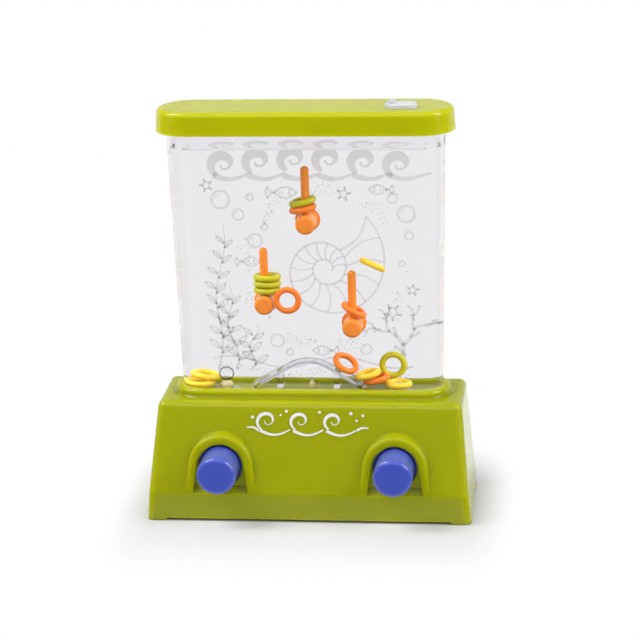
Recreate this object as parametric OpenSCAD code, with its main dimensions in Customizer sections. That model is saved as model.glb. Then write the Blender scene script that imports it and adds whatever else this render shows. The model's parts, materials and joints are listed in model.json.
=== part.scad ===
// Handheld water game: a clear water tank on a base with two pump buttons.
// Pressing a button squeezes a rubber bellows, and its jet of water lifts the rings,
// which the player tries to land on three pegs.
// X runs to the right, Y to the back and Z up. The origin is the middle of the footprint, on the table.

/* [Overall] */
// Height of the lid's top above the table
total_h = 140; // [125:1:160]

/* [Base shell] */
// Width of the base at the table
base_w = 112; // [108:0.5:124]
// Width of the base at its deck
deck_w = 104.8; // [102:0.4:108]
// Height of the deck above the table
deck_h = 39.3; // [37.5:0.1:41]
// Height of the upright skirt at the front
skirt_h = 10.3; // [9.5:0.1:10.7]
// Reach of the skirt in front of the tank's middle plane
skirt_reach = 26; // [25:0.2:28]
// Reach of the deck in front of the tank's middle plane
deck_reach = 14.2; // [13.6:0.1:15]
// Reach of the base behind the tank's middle plane
back_reach = 14.6; // [14:0.1:17]
// Wall of the base shell
shell_wall = 2.2; // [1.8:0.1:2.4]
// Radius of the base shell's outer edges
shell_round = 2.5; // [1.5:0.1:3]
// Length of the feet at the base's corners
foot_l = 7; // [5:0.5:12]
// Height of the feet
foot_h = 1; // [0.6:0.1:1.4]
// Height of the collar round the tank, above the deck
collar_h = 2.9; // [2:0.1:3.5]
// Wall of the collar
collar_wall = 2.6; // [1.8:0.1:3]
// Depth of the tank's seat in the deck
seat_depth = 1; // [0.6:0.1:1.2]

/* [Button hoods] */
// Height of the ramp in the corner at a pocket's foot
ramp_h = 1.8; // [1:0.1:2.4]
// Length of that ramp
ramp_l = 2.3; // [1.6:0.1:2.4]
// Distance of each button from the middle
button_x = 30; // [28:0.5:33]
// Outer radius of a hood's arch, round the button's axis
hood_r = 11.2; // [11:0.1:11.8]
// Backward lean of a hood's face, in degrees
hood_lean = 10.2; // [8:0.2:12]
// Width that a hood gains on each side, from its arch to its foot
hood_flare = 1.3; // [0.6:0.1:2]
// Width of the raised rim round the pocket
hood_rim = 3; // [2.4:0.1:3.3]
// Radius of the front edge of the rim
rim_round = 1.6; // [0.8:0.1:2]
// Depth of the pocket's upright face behind the front of the skirt
pocket_depth = 2.7; // [2.4:0.1:3]
// Wall of the hood behind the pocket and over its hollow
hood_wall = 2; // [1.6:0.1:2.2]

/* [Buttons] */
// Diameter of a button
button_d = 13.4; // [12.4:0.1:14]
// Height of a button's axis
button_z = 19.4; // [19:0.1:20]
// Reach of a button's face in front of the tank's middle plane
button_reach = 34; // [33:0.2:36]
// Travel of a button
button_travel = 6; // [4:0.5:6]
// Gap between a button and its hole
button_gap = 0.9; // [0.4:0.1:1]
// Radius of the edge of a button's face
button_round = 1.6; // [0.8:0.1:2.4]
// Diameter of the flange that keeps a button in
flange_d = 17; // [16.2:0.1:17.4]
// Thickness of the flange
flange_t = 1.6; // [1.2:0.1:2]
// Depth of the socket for the bellows in the back of a button
socket_depth = 4.5; // [3:0.5:6]

/* [Pumps] */
// Outer diameter of a bellows at its folds
bellows_d = 13; // [12:0.1:14]
// Depth of a bellows' folds
fold_depth = 1.6; // [1:0.1:2]
// Number of folds
fold_count = 4; // [2:1:5]
// Wall of a bellows
bellows_wall = 0.9; // [0.6:0.1:1]
// Diameter of the bellows' nose in the button
nose_d = 6; // [5:0.1:7]
// Outer diameter of the spigot that holds a bellows
spigot_d = 8; // [7.4:0.1:8.2]
// Length of the spigot inside a bellows
spigot_l = 3.2; // [2.4:0.1:4]
// Outer diameter of a pump's elbow
elbow_d = 9.4; // [8.8:0.1:9.8]
// Bore of a pump's elbow
elbow_bore = 4; // [3:0.1:4.2]
// Diameter of a pump's top flange, under the tank
elbow_flange_d = 11; // [10.6:0.1:11.2]
// Thickness of a pump's top flange
elbow_flange_t = 1.5; // [1:0.1:2]
// Thickness of the seal between a pump and the tank
seal_t = 0.8; // [0.5:0.1:1]
// Distance of a pump's front flange from the tank's middle plane
pump_front = 5.8; // [5.4:0.1:6]
// Thickness of a pump's front flange
pump_flange_t = 1.2; // [0.8:0.1:1.6]
// Diameter of a jet nozzle
nozzle_d = 4.8; // [4.5:0.1:5]
// Height of a jet nozzle above the tank's floor
nozzle_h = 1.5; // [1:0.1:2]
// Depth of a nozzle's stem in the pump
nozzle_stem = 5; // [3:0.5:8]
// Bore of a nozzle's tip
jet_d = 1.4; // [1:0.1:2]

/* [Tank] */
// Length of the tank at the lid's lower edge
tank_l = 94.6; // [92:0.2:95.4]
// Depth of the tank at the lid's lower edge
tank_d = 19; // [18.6:0.1:19.2]
// Taper of the tank towards its floor, on each side
tank_taper = 1.214; // [1:0.02:1.3]
// Wall of the tank
tank_wall = 1.4; // [1.1:0.1:1.5]
// Thickness of the tank's floor
tank_floor = 3; // [2.4:0.1:3.4]
// Width of the rim's flange inside the lid
flange_w = 1; // [0.6:0.1:1.1]
// Thickness of the rim's flange
flange_h = 2; // [1.4:0.1:2.4]
// Height of the tank's rim above the lid's lower edge
rim_h = 4.75; // [4.2:0.05:5.2]
// Diameter of the pip in the middle of the tank's floor
pip_d = 2.6; // [2:0.1:3]
// Height of the pip
pip_h = 2.6; // [2:0.1:3]
// Height of the water's surface below the lid's lower edge
water_drop = 6; // [5:0.1:8]

/* [Lid] */
// Length of the lid
lid_l = 101.4; // [101:0.2:104]
// Depth of the lid
lid_d = 24.3; // [24:0.1:26]
// Height of the lid
lid_h = 7.75; // [7:0.05:9]
// Taper of the lid's sides towards its top
lid_taper = 0.5; // [0.2:0.1:0.8]
// Radius of the lid's top edge
lid_round = 1.6; // [1:0.1:1.8]
// Thickness of the lid's top
lid_plate = 2; // [1.6:0.1:2.4]
// Thickness of the gasket between the tank's rim and the lid
gasket_t = 1; // [0.6:0.1:1.2]
// Height of the rib that locates the lid in the tank
rib_h = 3; // [2:0.1:4]
// Wall of that rib
rib_wall = 1.2; // [0.8:0.1:1.6]

/* [Fill plug] */
// Place of the fill plug along the lid
plug_x = 32.8; // [20:0.2:34]
// Distance of the plug in front of the tank's middle plane
plug_front = 3.3; // [2.8:0.1:3.4]
// Length of the plug's cap
plug_cap_l = 10.9; // [9:0.1:12]
// Width of the plug's cap
plug_cap_w = 6; // [5.6:0.1:8]
// Thickness of the plug's cap
plug_cap_t = 1.6; // [1.2:0.1:2.2]
// Diameter of the plug's stem
plug_stem_d = 5; // [4.4:0.1:5.2]
// Length of the plug's stem below the lid's top
plug_stem_l = 5; // [4:0.5:6]
// Height of the plug's finger tab above its cap
plug_tab_h = 1.1; // [0.6:0.1:1.6]
// Width of the plug's finger tab
plug_tab_w = 4.4; // [3:0.1:5]

/* [Pegs] */
// Diameter of a peg's rod
rod_d = 2.9; // [2.5:0.1:3]
// Diameter of a peg's boss
boss_d = 6.8; // [6:0.1:7]
// Height of a rod's tip above its boss' axis
peg_h = 19.9; // [19:0.1:21]
// Distance of the rods in front of the tank's middle plane
rod_reach = 1.2; // [0.8:0.1:1.4]
// Reach of a boss' front end in front of the tank's middle plane
boss_reach = 6.2; // [5.8:0.1:6.3]
// Radius of the edge of that end
boss_round = 1.3; // [0.8:0.1:1.8]
// Diameter of the wider root at a boss' back end
boss_root_d = 8.6; // [8.2:0.1:8.8]
// Length of that root
boss_root_l = 2.2; // [1.8:0.1:2.3]
// Outer diameter of the clear socket round a boss' root
socket_d = 10.2; // [10:0.1:10.4]
// Length of that socket
socket_l = 2.5; // [2.4:0.1:2.6]
// Diameter of the stub that carries a boss
stub_d = 3; // [2.4:0.1:3.4]
// Length of that stub
stub_l = 3; // [2:0.1:4]

/* [Rings] */
// Outer diameter of a ring
ring_od = 9.6; // [9.4:0.05:9.7]
// Thickness of a ring
ring_t = 2.05; // [1.9:0.05:2.1]

/* [Ring guide] */
// Place of the guide's peak to the right of the middle
guide_x = -1; // [-1:0.1:1]
// Half of the guide's length on the floor
guide_half_l = 18.7; // [18.5:0.1:20]
// Height of the guide's underside at its peak
guide_h = 8.8; // [8:0.1:10]
// Radius of the guide's underside at its peak
guide_r = 12.6; // [11:0.1:16]
// Thickness of the guide
guide_t = 1.1; // [0.8:0.05:1.2]
// Width of the guide at its peak
guide_peak_w = 5.2; // [4:0.1:6]
// Width of the guide at its feet
guide_foot_w = 10; // [8:0.1:10.6]
// Distance of the guide's legs from its middle
guide_leg_x = 9.8; // [8.6:0.1:12]
// Thickness of the guide's legs
guide_leg_t = 2; // [1.4:0.1:2.4]

/* [Base cover] */
// Thickness of the base cover
cover_t = 2; // [1.6:0.1:2.4]
// Height of the base cover above the table
cover_z = 0.4; // [0.3:0.1:0.6]
// Distance of the cover's screws from the middle, along the base
screw_x = 45; // [43:0.5:46]
// Distance of the front screws from the tank's middle plane
screw_front = 18; // [17:0.5:19]
// Distance of the back screws from the tank's middle plane
screw_back = 7.5; // [6:0.5:8]
// Diameter of a screw's shank
screw_d = 2.6; // [2:0.1:3]
// Diameter of a screw's head
screw_head_d = 5.2; // [4.6:0.1:5.6]
// Thickness of a screw's head
screw_head_t = 1.2; // [1:0.1:1.4]
// Length of a screw below its head
screw_l = 9; // [7:0.5:10]
// Outer diameter of a screw boss
screw_boss_d = 6.4; // [5.6:0.1:6.6]
// Width of the posts that steady the pumps
post_w = 10; // [8:0.5:12]
// Thickness of these posts
post_t = 3; // [2:0.1:4]

/* [Fits] */
// Gap between pieces that plug into each other
fit_gap = 0.05; // [0.02:0.01:0.08]
// Gap between pieces that seat in each other
seat_gap = 0.12; // [0.06:0.02:0.2]

/* [Hidden] */
EPS = 0.01;
FINE = 64;
LEFT = -1;
RIGHT = 1;

// Height of each joint between the large pieces
tank_z = deck_h - seat_depth;
floor_z = tank_z + tank_floor;
collar_z = deck_h + collar_h;
lid_z = total_h - lid_h;
lid_under_z = total_h - lid_plate;
rim_z = lid_under_z - gasket_t;
water_z = lid_z - water_drop;
flange_z = lid_z + rim_h - flange_h - gasket_t;

// The tank-centred model moves back, so that the footprint's middle is the origin
tank_y = (button_reach - back_reach) / 2;

// Lines of the base shell
end_slope = (base_w - deck_w) / 2 / deck_h;
end_lean = atan(end_slope);
front_lean = atan((skirt_reach - deck_reach) / (deck_h - skirt_h));
function end_x(z) = base_w / 2 - z * end_slope;
function front_y(z) = -skirt_reach + max(0, z - skirt_h) * tan(front_lean);

// Lines of the tank, whose ends are half circles
tank_span = (tank_l - tank_d) / 2;
lid_span = (lid_l - lid_d) / 2;
function tank_r(z) = tank_d / 2 - (lid_z - z) * tan(tank_taper);
function bore_r(z) = tank_r(z) - tank_wall;

// Lines of the buttons and pumps
pocket_y = -skirt_reach + pocket_depth;
shelf_y = pocket_y + hood_wall;
flange_y = shelf_y + seat_gap;
flange_back_y = flange_y + flange_t;
pump_y = -pump_front;
bellows_l = pump_y - flange_back_y;
hole_d = button_d + 2 * button_gap;
root_r = bellows_d / 2 - fold_depth;
seal_z = tank_z - seal_t;

// Lean of the guide's straight ramps, which touch its bend and end on the floor
guide_centre = guide_h - guide_r;
guide_lean = 90 - atan2(-guide_centre, guide_half_l) - acos(guide_r / norm([guide_half_l, guide_centre]));
guide_straight = 3.6;

// A height in the tank, as a share of the way from its floor to the lid
function tank_share(part) = floor_z + part * (lid_z - floor_z);

// Lines of the pegs, as [x, height of the boss' axis]
TOP = [-0.2, tank_share(0.648)];
LOW_LEFT = [-15.25, tank_share(0.334)];
LOW_RIGHT = [14.8, tank_share(0.2455)];
PEGS = [TOP, LOW_LEFT, LOW_RIGHT];

// Lines of the rings
ring_r = (ring_od - ring_t) / 2;
LIME = "yellowgreen";
ORANGE = "darkorange";
YELLOW = "gold";
// The centre of a ring on a peg, from its offset to the right and its height above the boss
function on_peg(peg, dx, dz) = [peg[0] + dx, 0.2 - rod_reach, peg[1] + boss_d / 2 + dz];
ring_pitch = ring_t + 0.25;
// Each ring's name, the centre from the tank's middle plane and the table, its turns and its colour
RINGS = [
    ["ring_peg_top_lower", on_peg(TOP, -1, 1.7), [0, -12, 0], ORANGE],
    ["ring_peg_top_upper", on_peg(TOP, -1, 4.15), [0, -14, 0], LIME],
    ["ring_peg_left_lower", on_peg(LOW_LEFT, 1, ring_t / 2 + 0.4), [0, 0, 0], LIME],
    ["ring_peg_left_middle", on_peg(LOW_LEFT, 1, ring_t / 2 + 0.4 + ring_pitch), [0, 0, 0], LIME],
    ["ring_peg_left_upper", on_peg(LOW_LEFT, 1, ring_t / 2 + 0.4 + 2 * ring_pitch), [0, 0, 0], LIME],
    ["ring_peg_right", on_peg(LOW_RIGHT, 0.5, 2.35), [0, 29, 0], ORANGE],
    ["ring_loose", [-7.1, -5.4, LOW_LEFT[1] + 1.95], [90, 0, 0], ORANGE],
    ["ring_drifting", [22, -1, tank_share(0.486)], [-12.7, 25, 0], YELLOW],
    ["ring_floor_left_low", [-38.8, -0.6, floor_z + 1.15], [0, 0, 0], YELLOW],
    ["ring_floor_left_top", [-36.9, 0.9, floor_z + 3.6], [0, 8, 0], YELLOW],
    ["ring_floor_right_low", [30, -0.1, floor_z + 1.15], [0, 0, 0], YELLOW],
    ["ring_floor_right_middle", [22.4, -0.4, floor_z + 2.95], [0, -14, 0], ORANGE],
    ["ring_floor_right_top", [19.5, -0.7, floor_z + 4.75], [0, -14, 0], YELLOW],
    ["ring_floor_right_leaning", [12, -1, floor_z + 8.75], [24, 32, 0], ORANGE],
    ["ring_floor_right_standing", [28, 4.6, floor_z + 6.9], [90, 0, 0], LIME],
];

// Moves what is drawn round the tank's middle plane to its place over the footprint
module placed() {
    translate([0, tank_y, 0]) children();
}

// Points of a quarter round from the side of radius r to the flat end at z, the edge radius being e
function edge_round(r, z, e, steps = 6) = [
    for (i = [0:steps]) [r - e + e * cos(90 * i / steps), z - e + e * sin(90 * i / steps)]
];

// A body whose plan is a bar with half-round ends, from side points [r, z] listed upwards
module pill(side, span) {
    low = [0, side[0][1]];
    high = [0, side[len(side) - 1][1]];
    for (s = [LEFT, RIGHT])
        translate([s * span, 0, 0]) rotate_extrude($fn = FINE) polygon(concat([low], side, [high]));
    translate([-span, 0, 0]) rotate([90, 0, 90]) linear_extrude(2 * span)
        polygon(concat(side, [for (i = [len(side) - 1:-1:0]) [-side[i][0], side[i][1]]]));
}

// A turned body whose axis runs to the back, from points [radius, distance behind the tank's middle plane]
module turned(points) {
    rotate([-90, 0, 0]) rotate_extrude($fn = FINE) polygon(points);
}

// A straight bar along Y between two distances
module bar_y(d, y0, y1) {
    translate([0, y0, 0]) rotate([-90, 0, 0]) cylinder(d = d, h = y1 - y0, $fn = FINE);
}

// The rounded outer form of the base
module base_skin() {
    r = shell_round;
    top_z = deck_h - r;
    crease_z = skirt_h - r * tan(front_lean / 2);
    inset = r / cos(end_lean);
    hull() for (s = [LEFT, RIGHT]) {
        translate([s * (end_x(top_z) - inset), front_y(top_z) + r / cos(front_lean), top_z])
            sphere(r, $fn = 32);
        translate([s * (end_x(top_z) - inset), back_reach - r, top_z]) sphere(r, $fn = 32);
        translate([s * (end_x(crease_z) - inset), r - skirt_reach, crease_z]) sphere(r, $fn = 32);
        for (y = [r - skirt_reach, back_reach - r])
            translate([s * (end_x(0) - inset), y, 0]) cylinder(r = r, h = EPS, $fn = 32);
    }
}

// The hollow of the base, with an even wall behind the skin
module base_hollow() {
    w = shell_wall;
    knee_z = skirt_h - w * tan(front_lean / 2);
    roof_z = deck_h - w;
    roof_y = front_y(roof_z) + w / cos(front_lean);
    side_w = w / cos(end_lean);
    intersection() {
        translate([-base_w, 0, 0]) rotate([90, 0, 90]) linear_extrude(2 * base_w) polygon([
            [w - skirt_reach, -1], [w - skirt_reach, knee_z], [roof_y, roof_z],
            [back_reach - w, roof_z], [back_reach - w, -1]
        ]);
        translate([0, base_w, 0]) rotate([90, 0, 0]) linear_extrude(2 * base_w) polygon([
            [side_w - end_x(-1), -1], [end_x(-1) - side_w, -1],
            [end_x(roof_z) - side_w, roof_z], [side_w - end_x(roof_z), roof_z]
        ]);
    }
}

// Outline of a hood or its pocket: an arch on legs that spread to the crease of the front
module hood_outline(r) {
    translate([0, button_z]) circle(r, $fn = FINE);
    polygon([[-r - hood_flare, skirt_h], [r + hood_flare, skirt_h], [r, button_z], [-r, button_z]]);
}

// That outline as a slab between two distances from the tank's middle plane
module hood_slab(r, y0, y1) {
    translate([0, y1, 0]) rotate([90, 0, 0]) linear_extrude(y1 - y0) hood_outline(r);
}

// A raised hood whose rounded face leans back from the crease and runs into the sloping front
module hood() {
    back_y = front_y(button_z + hood_r) + shell_wall;
    hull() {
        for (turn = [0:30:90])
            translate([0, -skirt_reach, skirt_h]) rotate([-hood_lean, 0, 0])
                translate([0, rim_round * (1 - cos(turn)), -skirt_h])
                    hood_slab(hood_r - rim_round * (1 - sin(turn)), 0, EPS);
        hood_slab(hood_r, back_y - EPS, back_y);
    }
}

// The upright wall behind a hood's pocket
module pocket_wall() {
    intersection() {
        hood();
        hood_slab(hood_r - hood_wall / 2, pocket_y, shelf_y);
    }
}

// The ramp that fills the corner at a pocket's foot
module pocket_ramp() {
    half_w = hood_r + hood_flare - hood_rim / 2;
    low = skirt_h - hood_wall / 4;
    back = pocket_y + hood_wall / 2;
    translate([-half_w, 0, 0]) rotate([90, 0, 90]) linear_extrude(2 * half_w) polygon([
        [pocket_y - ramp_l, low], [pocket_y - ramp_l, skirt_h],
        [pocket_y, skirt_h + ramp_h], [back, skirt_h + ramp_h], [back, low]
    ]);
}

// The ring that stands on the deck round the tank, filleted at its foot and rounded at its top
module collar() {
    r = tank_r(deck_h) + collar_wall;
    fillet = shell_wall / 2;
    foot = [
        for (a = [0:22.5:90]) [r + fillet - fillet * sin(a), deck_h + fillet - fillet * cos(a)]
    ];
    top = edge_round(r, collar_z, collar_wall / 2);
    pill(concat([[r + fillet, deck_h - shell_wall / 2]], foot, top), tank_span);
}

// A tapering pocket that takes the tank's foot with a gap all round
module tank_seat(grow, z0, z1) {
    pill([[tank_r(z0) + grow, z0], [tank_r(z1) + grow, z1]], tank_span);
}

// The places of the four screws
module at_screws() {
    for (s = [LEFT, RIGHT]) {
        translate([s * screw_x, -screw_front, 0]) children();
        translate([s * screw_x, screw_back, 0]) children();
    }
}

cover_top = cover_z + cover_t;
screw_seat_z = cover_z + screw_head_t + seat_gap;
// The front bosses end where the sloping wall is thick enough to hold them
front_boss_top = skirt_h + (skirt_reach - screw_front - screw_boss_d / 2) / tan(front_lean) - shell_wall;

module screw_bosses() {
    for (s = [LEFT, RIGHT]) {
        translate([s * screw_x, -screw_front, cover_top + seat_gap])
            cylinder(d = screw_boss_d, h = front_boss_top - cover_top - seat_gap, $fn = FINE);
        translate([s * screw_x, screw_back, cover_top + seat_gap])
            cylinder(d = screw_boss_d, h = deck_h - shell_wall / 2 - cover_top - seat_gap, $fn = FINE);
    }
}

module base_shell() {
    pocket_r = hood_r - hood_rim;
    placed() color("yellowgreen") difference() {
        union() {
            difference() {
                union() {
                    base_skin();
                    for (s = [LEFT, RIGHT]) translate([s * button_x, 0, 0]) hood();
                    collar();
                }
                base_hollow();
                for (s = [LEFT, RIGHT]) translate([s * button_x, 0, 0]) {
                    hood_slab(hood_r - hood_wall, shelf_y, -deck_reach + shell_wall);
                    hood_slab(pocket_r, -skirt_reach - 1, pocket_y);
                }
            }
            for (s = [LEFT, RIGHT]) translate([s * button_x, 0, 0]) {
                pocket_wall();
                pocket_ramp();
                translate([-hood_r, pocket_y - shell_wall / 2, skirt_h - shell_wall])
                    cube([2 * hood_r, hood_wall + shell_wall / 2, shell_wall]);
            }
            screw_bosses();
        }
        for (s = [LEFT, RIGHT])
            translate([s * button_x, 0, button_z]) bar_y(hole_d, -skirt_reach - 1, shelf_y + 1);
        tank_seat(seat_gap, tank_z, collar_z + 1);
        for (s = [LEFT, RIGHT]) translate([s * button_x, 0, deck_h - 2 * shell_wall])
            cylinder(d = elbow_flange_d + 2 * seat_gap, h = 2 * shell_wall, $fn = FINE);
        at_screws() cylinder(d = screw_d + 2 * fit_gap, h = cover_top + screw_l + 1, $fn = FINE);
        translate([foot_l - base_w / 2, -base_w / 2, -1]) cube([base_w - 2 * foot_l, base_w, 1 + foot_h]);
        translate([-base_w, foot_l - skirt_reach, -1])
            cube([2 * base_w, skirt_reach + back_reach - 2 * foot_l, 1 + foot_h]);
    }
}

module base_cover() {
    half_l = end_x(cover_top) - shell_wall / cos(end_lean) - seat_gap;
    front = skirt_reach - shell_wall - seat_gap;
    back = back_reach - shell_wall - seat_gap;
    post_h = button_z - elbow_d / 2 - seat_gap - cover_z;
    placed() color("gainsboro") difference() {
        union() {
            translate([-half_l, -front, cover_z]) cube([2 * half_l, front + back, cover_t]);
            for (s = [LEFT, RIGHT])
                translate([s * button_x - post_w / 2, -post_t / 2, cover_z]) cube([post_w, post_t, post_h]);
        }
        at_screws() {
            cylinder(d = screw_d + 2 * seat_gap, h = cover_top + 1, $fn = FINE);
            cylinder(d = screw_head_d + 2 * seat_gap, h = screw_seat_z, $fn = FINE);
        }
    }
}

module base_screws() {
    head_z = screw_seat_z - screw_head_t;
    placed() color("silver") at_screws() difference() {
        union() {
            translate([0, 0, head_z]) cylinder(d = screw_head_d, h = screw_head_t, $fn = FINE);
            translate([0, 0, head_z]) cylinder(d = screw_d, h = screw_head_t + screw_l, $fn = FINE);
        }
        for (turn = [0, 90])
            rotate(turn) translate([-screw_d / 2, -screw_d / 8, 0])
                cube([screw_d, screw_d / 4, head_z + screw_head_t / 2]);
    }
}

// A hollow push button with a rounded face, a flange behind the wall and a socket for the bellows
module button(side) {
    r = button_d / 2;
    face = -button_reach;
    e = button_round;
    edge = [for (a = [0:11.25:90]) [r - e + e * sin(a), face + e - e * cos(a)]];
    placed() color("royalblue") translate([side * button_x, 0, button_z]) turned(concat(
        [[0, face]], edge,
        [[r, flange_y], [flange_d / 2, flange_y], [flange_d / 2, flange_back_y]],
        [[nose_d / 2 + fit_gap, flange_back_y], [nose_d / 2 + fit_gap, flange_back_y - socket_depth]],
        [[0, flange_back_y - socket_depth]]
    ));
}

// A rubber bellows: a nose in the button, folds, and a neck stretched over the pump's spigot
module bellows(side) {
    front = flange_back_y + fit_gap;
    back = pump_y - fit_gap;
    neck = back - spigot_l;
    neck_r = spigot_d / 2 + fit_gap;
    pitch = (neck - front - bellows_wall) / fold_count;
    start = front + bellows_wall;
    crest = bellows_d / 2;
    outer = [
        for (i = [0:fold_count - 1])
            for (p = [[root_r, 0], [crest, pitch / 2]]) [p[0], start + i * pitch + p[1]]
    ];
    inner = [
        for (i = [fold_count - 1:-1:0])
            for (p = [[crest, pitch / 2], [root_r, 0]]) [p[0] - bellows_wall, start + i * pitch + p[1]]
    ];
    nose_y = flange_back_y - socket_depth + fit_gap;
    placed() color("dimgray") translate([side * button_x, 0, button_z]) turned(concat(
        [[0, nose_y], [nose_d / 2, nose_y], [nose_d / 2, front], [root_r, front]],
        outer,
        [[neck_r + bellows_wall, neck], [neck_r + bellows_wall, back], [neck_r, back], [neck_r, neck]],
        inner,
        [[0, start]]
    ));
}

// A moulded elbow that leads water from the bellows up to the tank's floor
module pump(side) {
    top = seal_z;
    placed() color("whitesmoke") translate([side * button_x, 0, 0]) difference() {
        union() {
            translate([0, 0, button_z]) {
                bar_y(spigot_d, pump_y - spigot_l, pump_y + EPS);
                bar_y(bellows_d, pump_y, pump_y + pump_flange_t);
                bar_y(elbow_d, pump_y, elbow_d / 2);
            }
            translate([0, 0, button_z]) cylinder(d = elbow_d, h = top - button_z, $fn = FINE);
            translate([0, 0, top - elbow_flange_t])
                cylinder(d = elbow_flange_d, h = elbow_flange_t, $fn = FINE);
        }
        translate([0, 0, button_z]) bar_y(elbow_bore, pump_y - spigot_l - 1, 0);
        translate([0, 0, button_z - elbow_bore / 2]) cylinder(d = elbow_bore, h = top, $fn = FINE);
        translate([0, 0, top - nozzle_stem])
            cylinder(d = nozzle_d + 2 * fit_gap, h = nozzle_stem + 1, $fn = FINE);
    }
}

module pump_seal(side) {
    placed() color("black") translate([side * button_x, 0, seal_z]) difference() {
        cylinder(d = elbow_flange_d, h = seal_t, $fn = FINE);
        translate([0, 0, -1]) cylinder(d = nozzle_d + 2 * fit_gap, h = seal_t + 2, $fn = FINE);
    }
}

// The outer form of a nozzle, which the water leaves room for when it grows by a gap
module nozzle_form(grow) {
    h = nozzle_h + grow;
    r = nozzle_d / 2 + grow;
    rotate_extrude($fn = FINE) polygon([
        [0, seal_z - nozzle_stem + fit_gap], [r, seal_z - nozzle_stem + fit_gap],
        [r, floor_z + h / 2], [r * 0.7, floor_z + h], [0, floor_z + h]
    ]);
}

module nozzle(side) {
    low = seal_z - nozzle_stem;
    placed() color("lightcyan") translate([side * button_x, 0, 0]) difference() {
        nozzle_form(0);
        translate([0, 0, low - 1]) cylinder(d = jet_d * 2, h = nozzle_stem, $fn = FINE);
        translate([0, 0, low]) cylinder(d = jet_d, h = total_h, $fn = FINE);
    }
}

module pip(grow) {
    cylinder(d = pip_d + 2 * grow, h = floor_z + pip_h + grow, $fn = FINE);
}

// The outer form of the socket round a boss' root, at the boss' axis
module socket_form(peg, grow) {
    bar_y(socket_d + 2 * grow, bore_r(peg[1]) - socket_l - grow, bore_r(peg[1]) + tank_wall / 2);
}

module tank() {
    outer = [
        [tank_r(tank_z), tank_z], [tank_r(flange_z), flange_z],
        [tank_r(flange_z) + flange_w, flange_z], [tank_r(flange_z) + flange_w, flange_z + flange_h],
        [tank_r(flange_z + flange_h), flange_z + flange_h],
        [tank_r(rim_z), rim_z]
    ];
    placed() color("azure", 0.35) union() {
        difference() {
            pill(outer, tank_span);
            pill([[bore_r(floor_z), floor_z], [bore_r(rim_z + 1), rim_z + 1]], tank_span);
            for (s = [LEFT, RIGHT])
                translate([s * button_x, 0, 0]) cylinder(d = nozzle_d + 2 * fit_gap, h = total_h, $fn = FINE);
        }
        difference() {
            pip(0);
            cylinder(d = 2 * pip_d, h = floor_z - tank_floor / 2, $fn = FINE);
        }
        for (peg = PEGS)
            translate([peg[0], 0, peg[1]]) {
                bar_y(stub_d, bore_r(peg[1]) - stub_l, bore_r(peg[1]) + tank_wall / 2);
                difference() {
                    socket_form(peg, 0);
                    bar_y(boss_root_d + 2 * fit_gap, 0, bore_r(peg[1] - boss_root_d / 2));
                }
            }
    }
}

// The area under the guide's upper or lower face, whose bend has radius r round the same centre
module guide_under(r, foot) {
    reach = (r + guide_centre * cos(guide_lean)) / sin(guide_lean);
    polygon(concat(
        [[foot, 0], [foot, (reach - foot) * tan(guide_lean)]],
        [for (i = [8:-1:-8]) [r * sin(guide_lean * i / 8), guide_centre + r * cos(guide_lean * i / 8)]],
        [[-foot, (reach - foot) * tan(guide_lean)], [-foot, 0]]
    ));
}

// A clear arch on the floor that keeps sunken rings near the two jets
module guide_form(grow) {
    foot = guide_half_l + guide_t + grow;
    inner_foot = guide_half_l - grow / sin(guide_lean) - EPS;
    peak = guide_peak_w / 2 + grow;
    end = guide_foot_w / 2 + grow;
    translate([guide_x, 0, floor_z]) intersection() {
        rotate([90, 0, 0]) linear_extrude(guide_foot_w * 2, center = true) difference() {
            guide_under(guide_r + guide_t + grow, foot);
            difference() {
                guide_under(guide_r - grow, inner_foot);
                for (s = [LEFT, RIGHT])
                    translate([s * guide_leg_x - guide_leg_t / 2 - grow, 0])
                        square([guide_leg_t + 2 * grow, guide_h]);
            }
        }
        linear_extrude(guide_h * 2) polygon([
            [-foot, -end], [-guide_straight, -peak], [guide_straight, -peak], [foot, -end],
            [foot, end], [guide_straight, peak], [-guide_straight, peak], [-foot, end]
        ]);
    }
}

module ring_guide() {
    placed() color("azure", 0.5) guide_form(0);
}

// A peg: a long boss in the socket on the tank's back wall, and an upright rod for the rings
module peg_form(peg, grow) {
    r = boss_d / 2 + grow;
    e = boss_round + grow;
    front = -boss_reach - grow;
    back = bore_r(peg[1] - boss_root_d / 2) - fit_gap;
    root_r = boss_root_d / 2 + grow;
    root = back - boss_root_l - grow;
    edge = [for (a = [0:15:90]) [r - e + e * sin(a), front + e - e * cos(a)]];
    translate([peg[0], 0, peg[1]]) {
        turned(concat([[0, front]], edge, [
            [r, root], [root_r, root + (root_r - r) / 2], [root_r, back + grow], [0, back + grow]
        ]));
        translate([0, -rod_reach, 0]) {
            cylinder(d = rod_d + 2 * grow, h = peg_h - rod_d / 2, $fn = FINE);
            translate([0, 0, peg_h - rod_d / 2]) sphere(rod_d / 2 + grow, $fn = FINE);
        }
    }
}

module peg_at(peg) {
    placed() color("darkorange") difference() {
        peg_form(peg, 0);
        translate([peg[0], 0, peg[1]])
            bar_y(stub_d + 2 * fit_gap, bore_r(peg[1]) - stub_l - fit_gap, bore_r(peg[1]) + 1);
    }
}

module ring_form(ring, grow) {
    translate(ring[1]) rotate(ring[2]) rotate_extrude($fn = FINE)
        translate([ring_r, 0]) circle(ring_t / 2 + grow, $fn = 32);
}

module ring_at(ring) {
    placed() color(ring[3]) ring_form(ring, 0);
}

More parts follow.
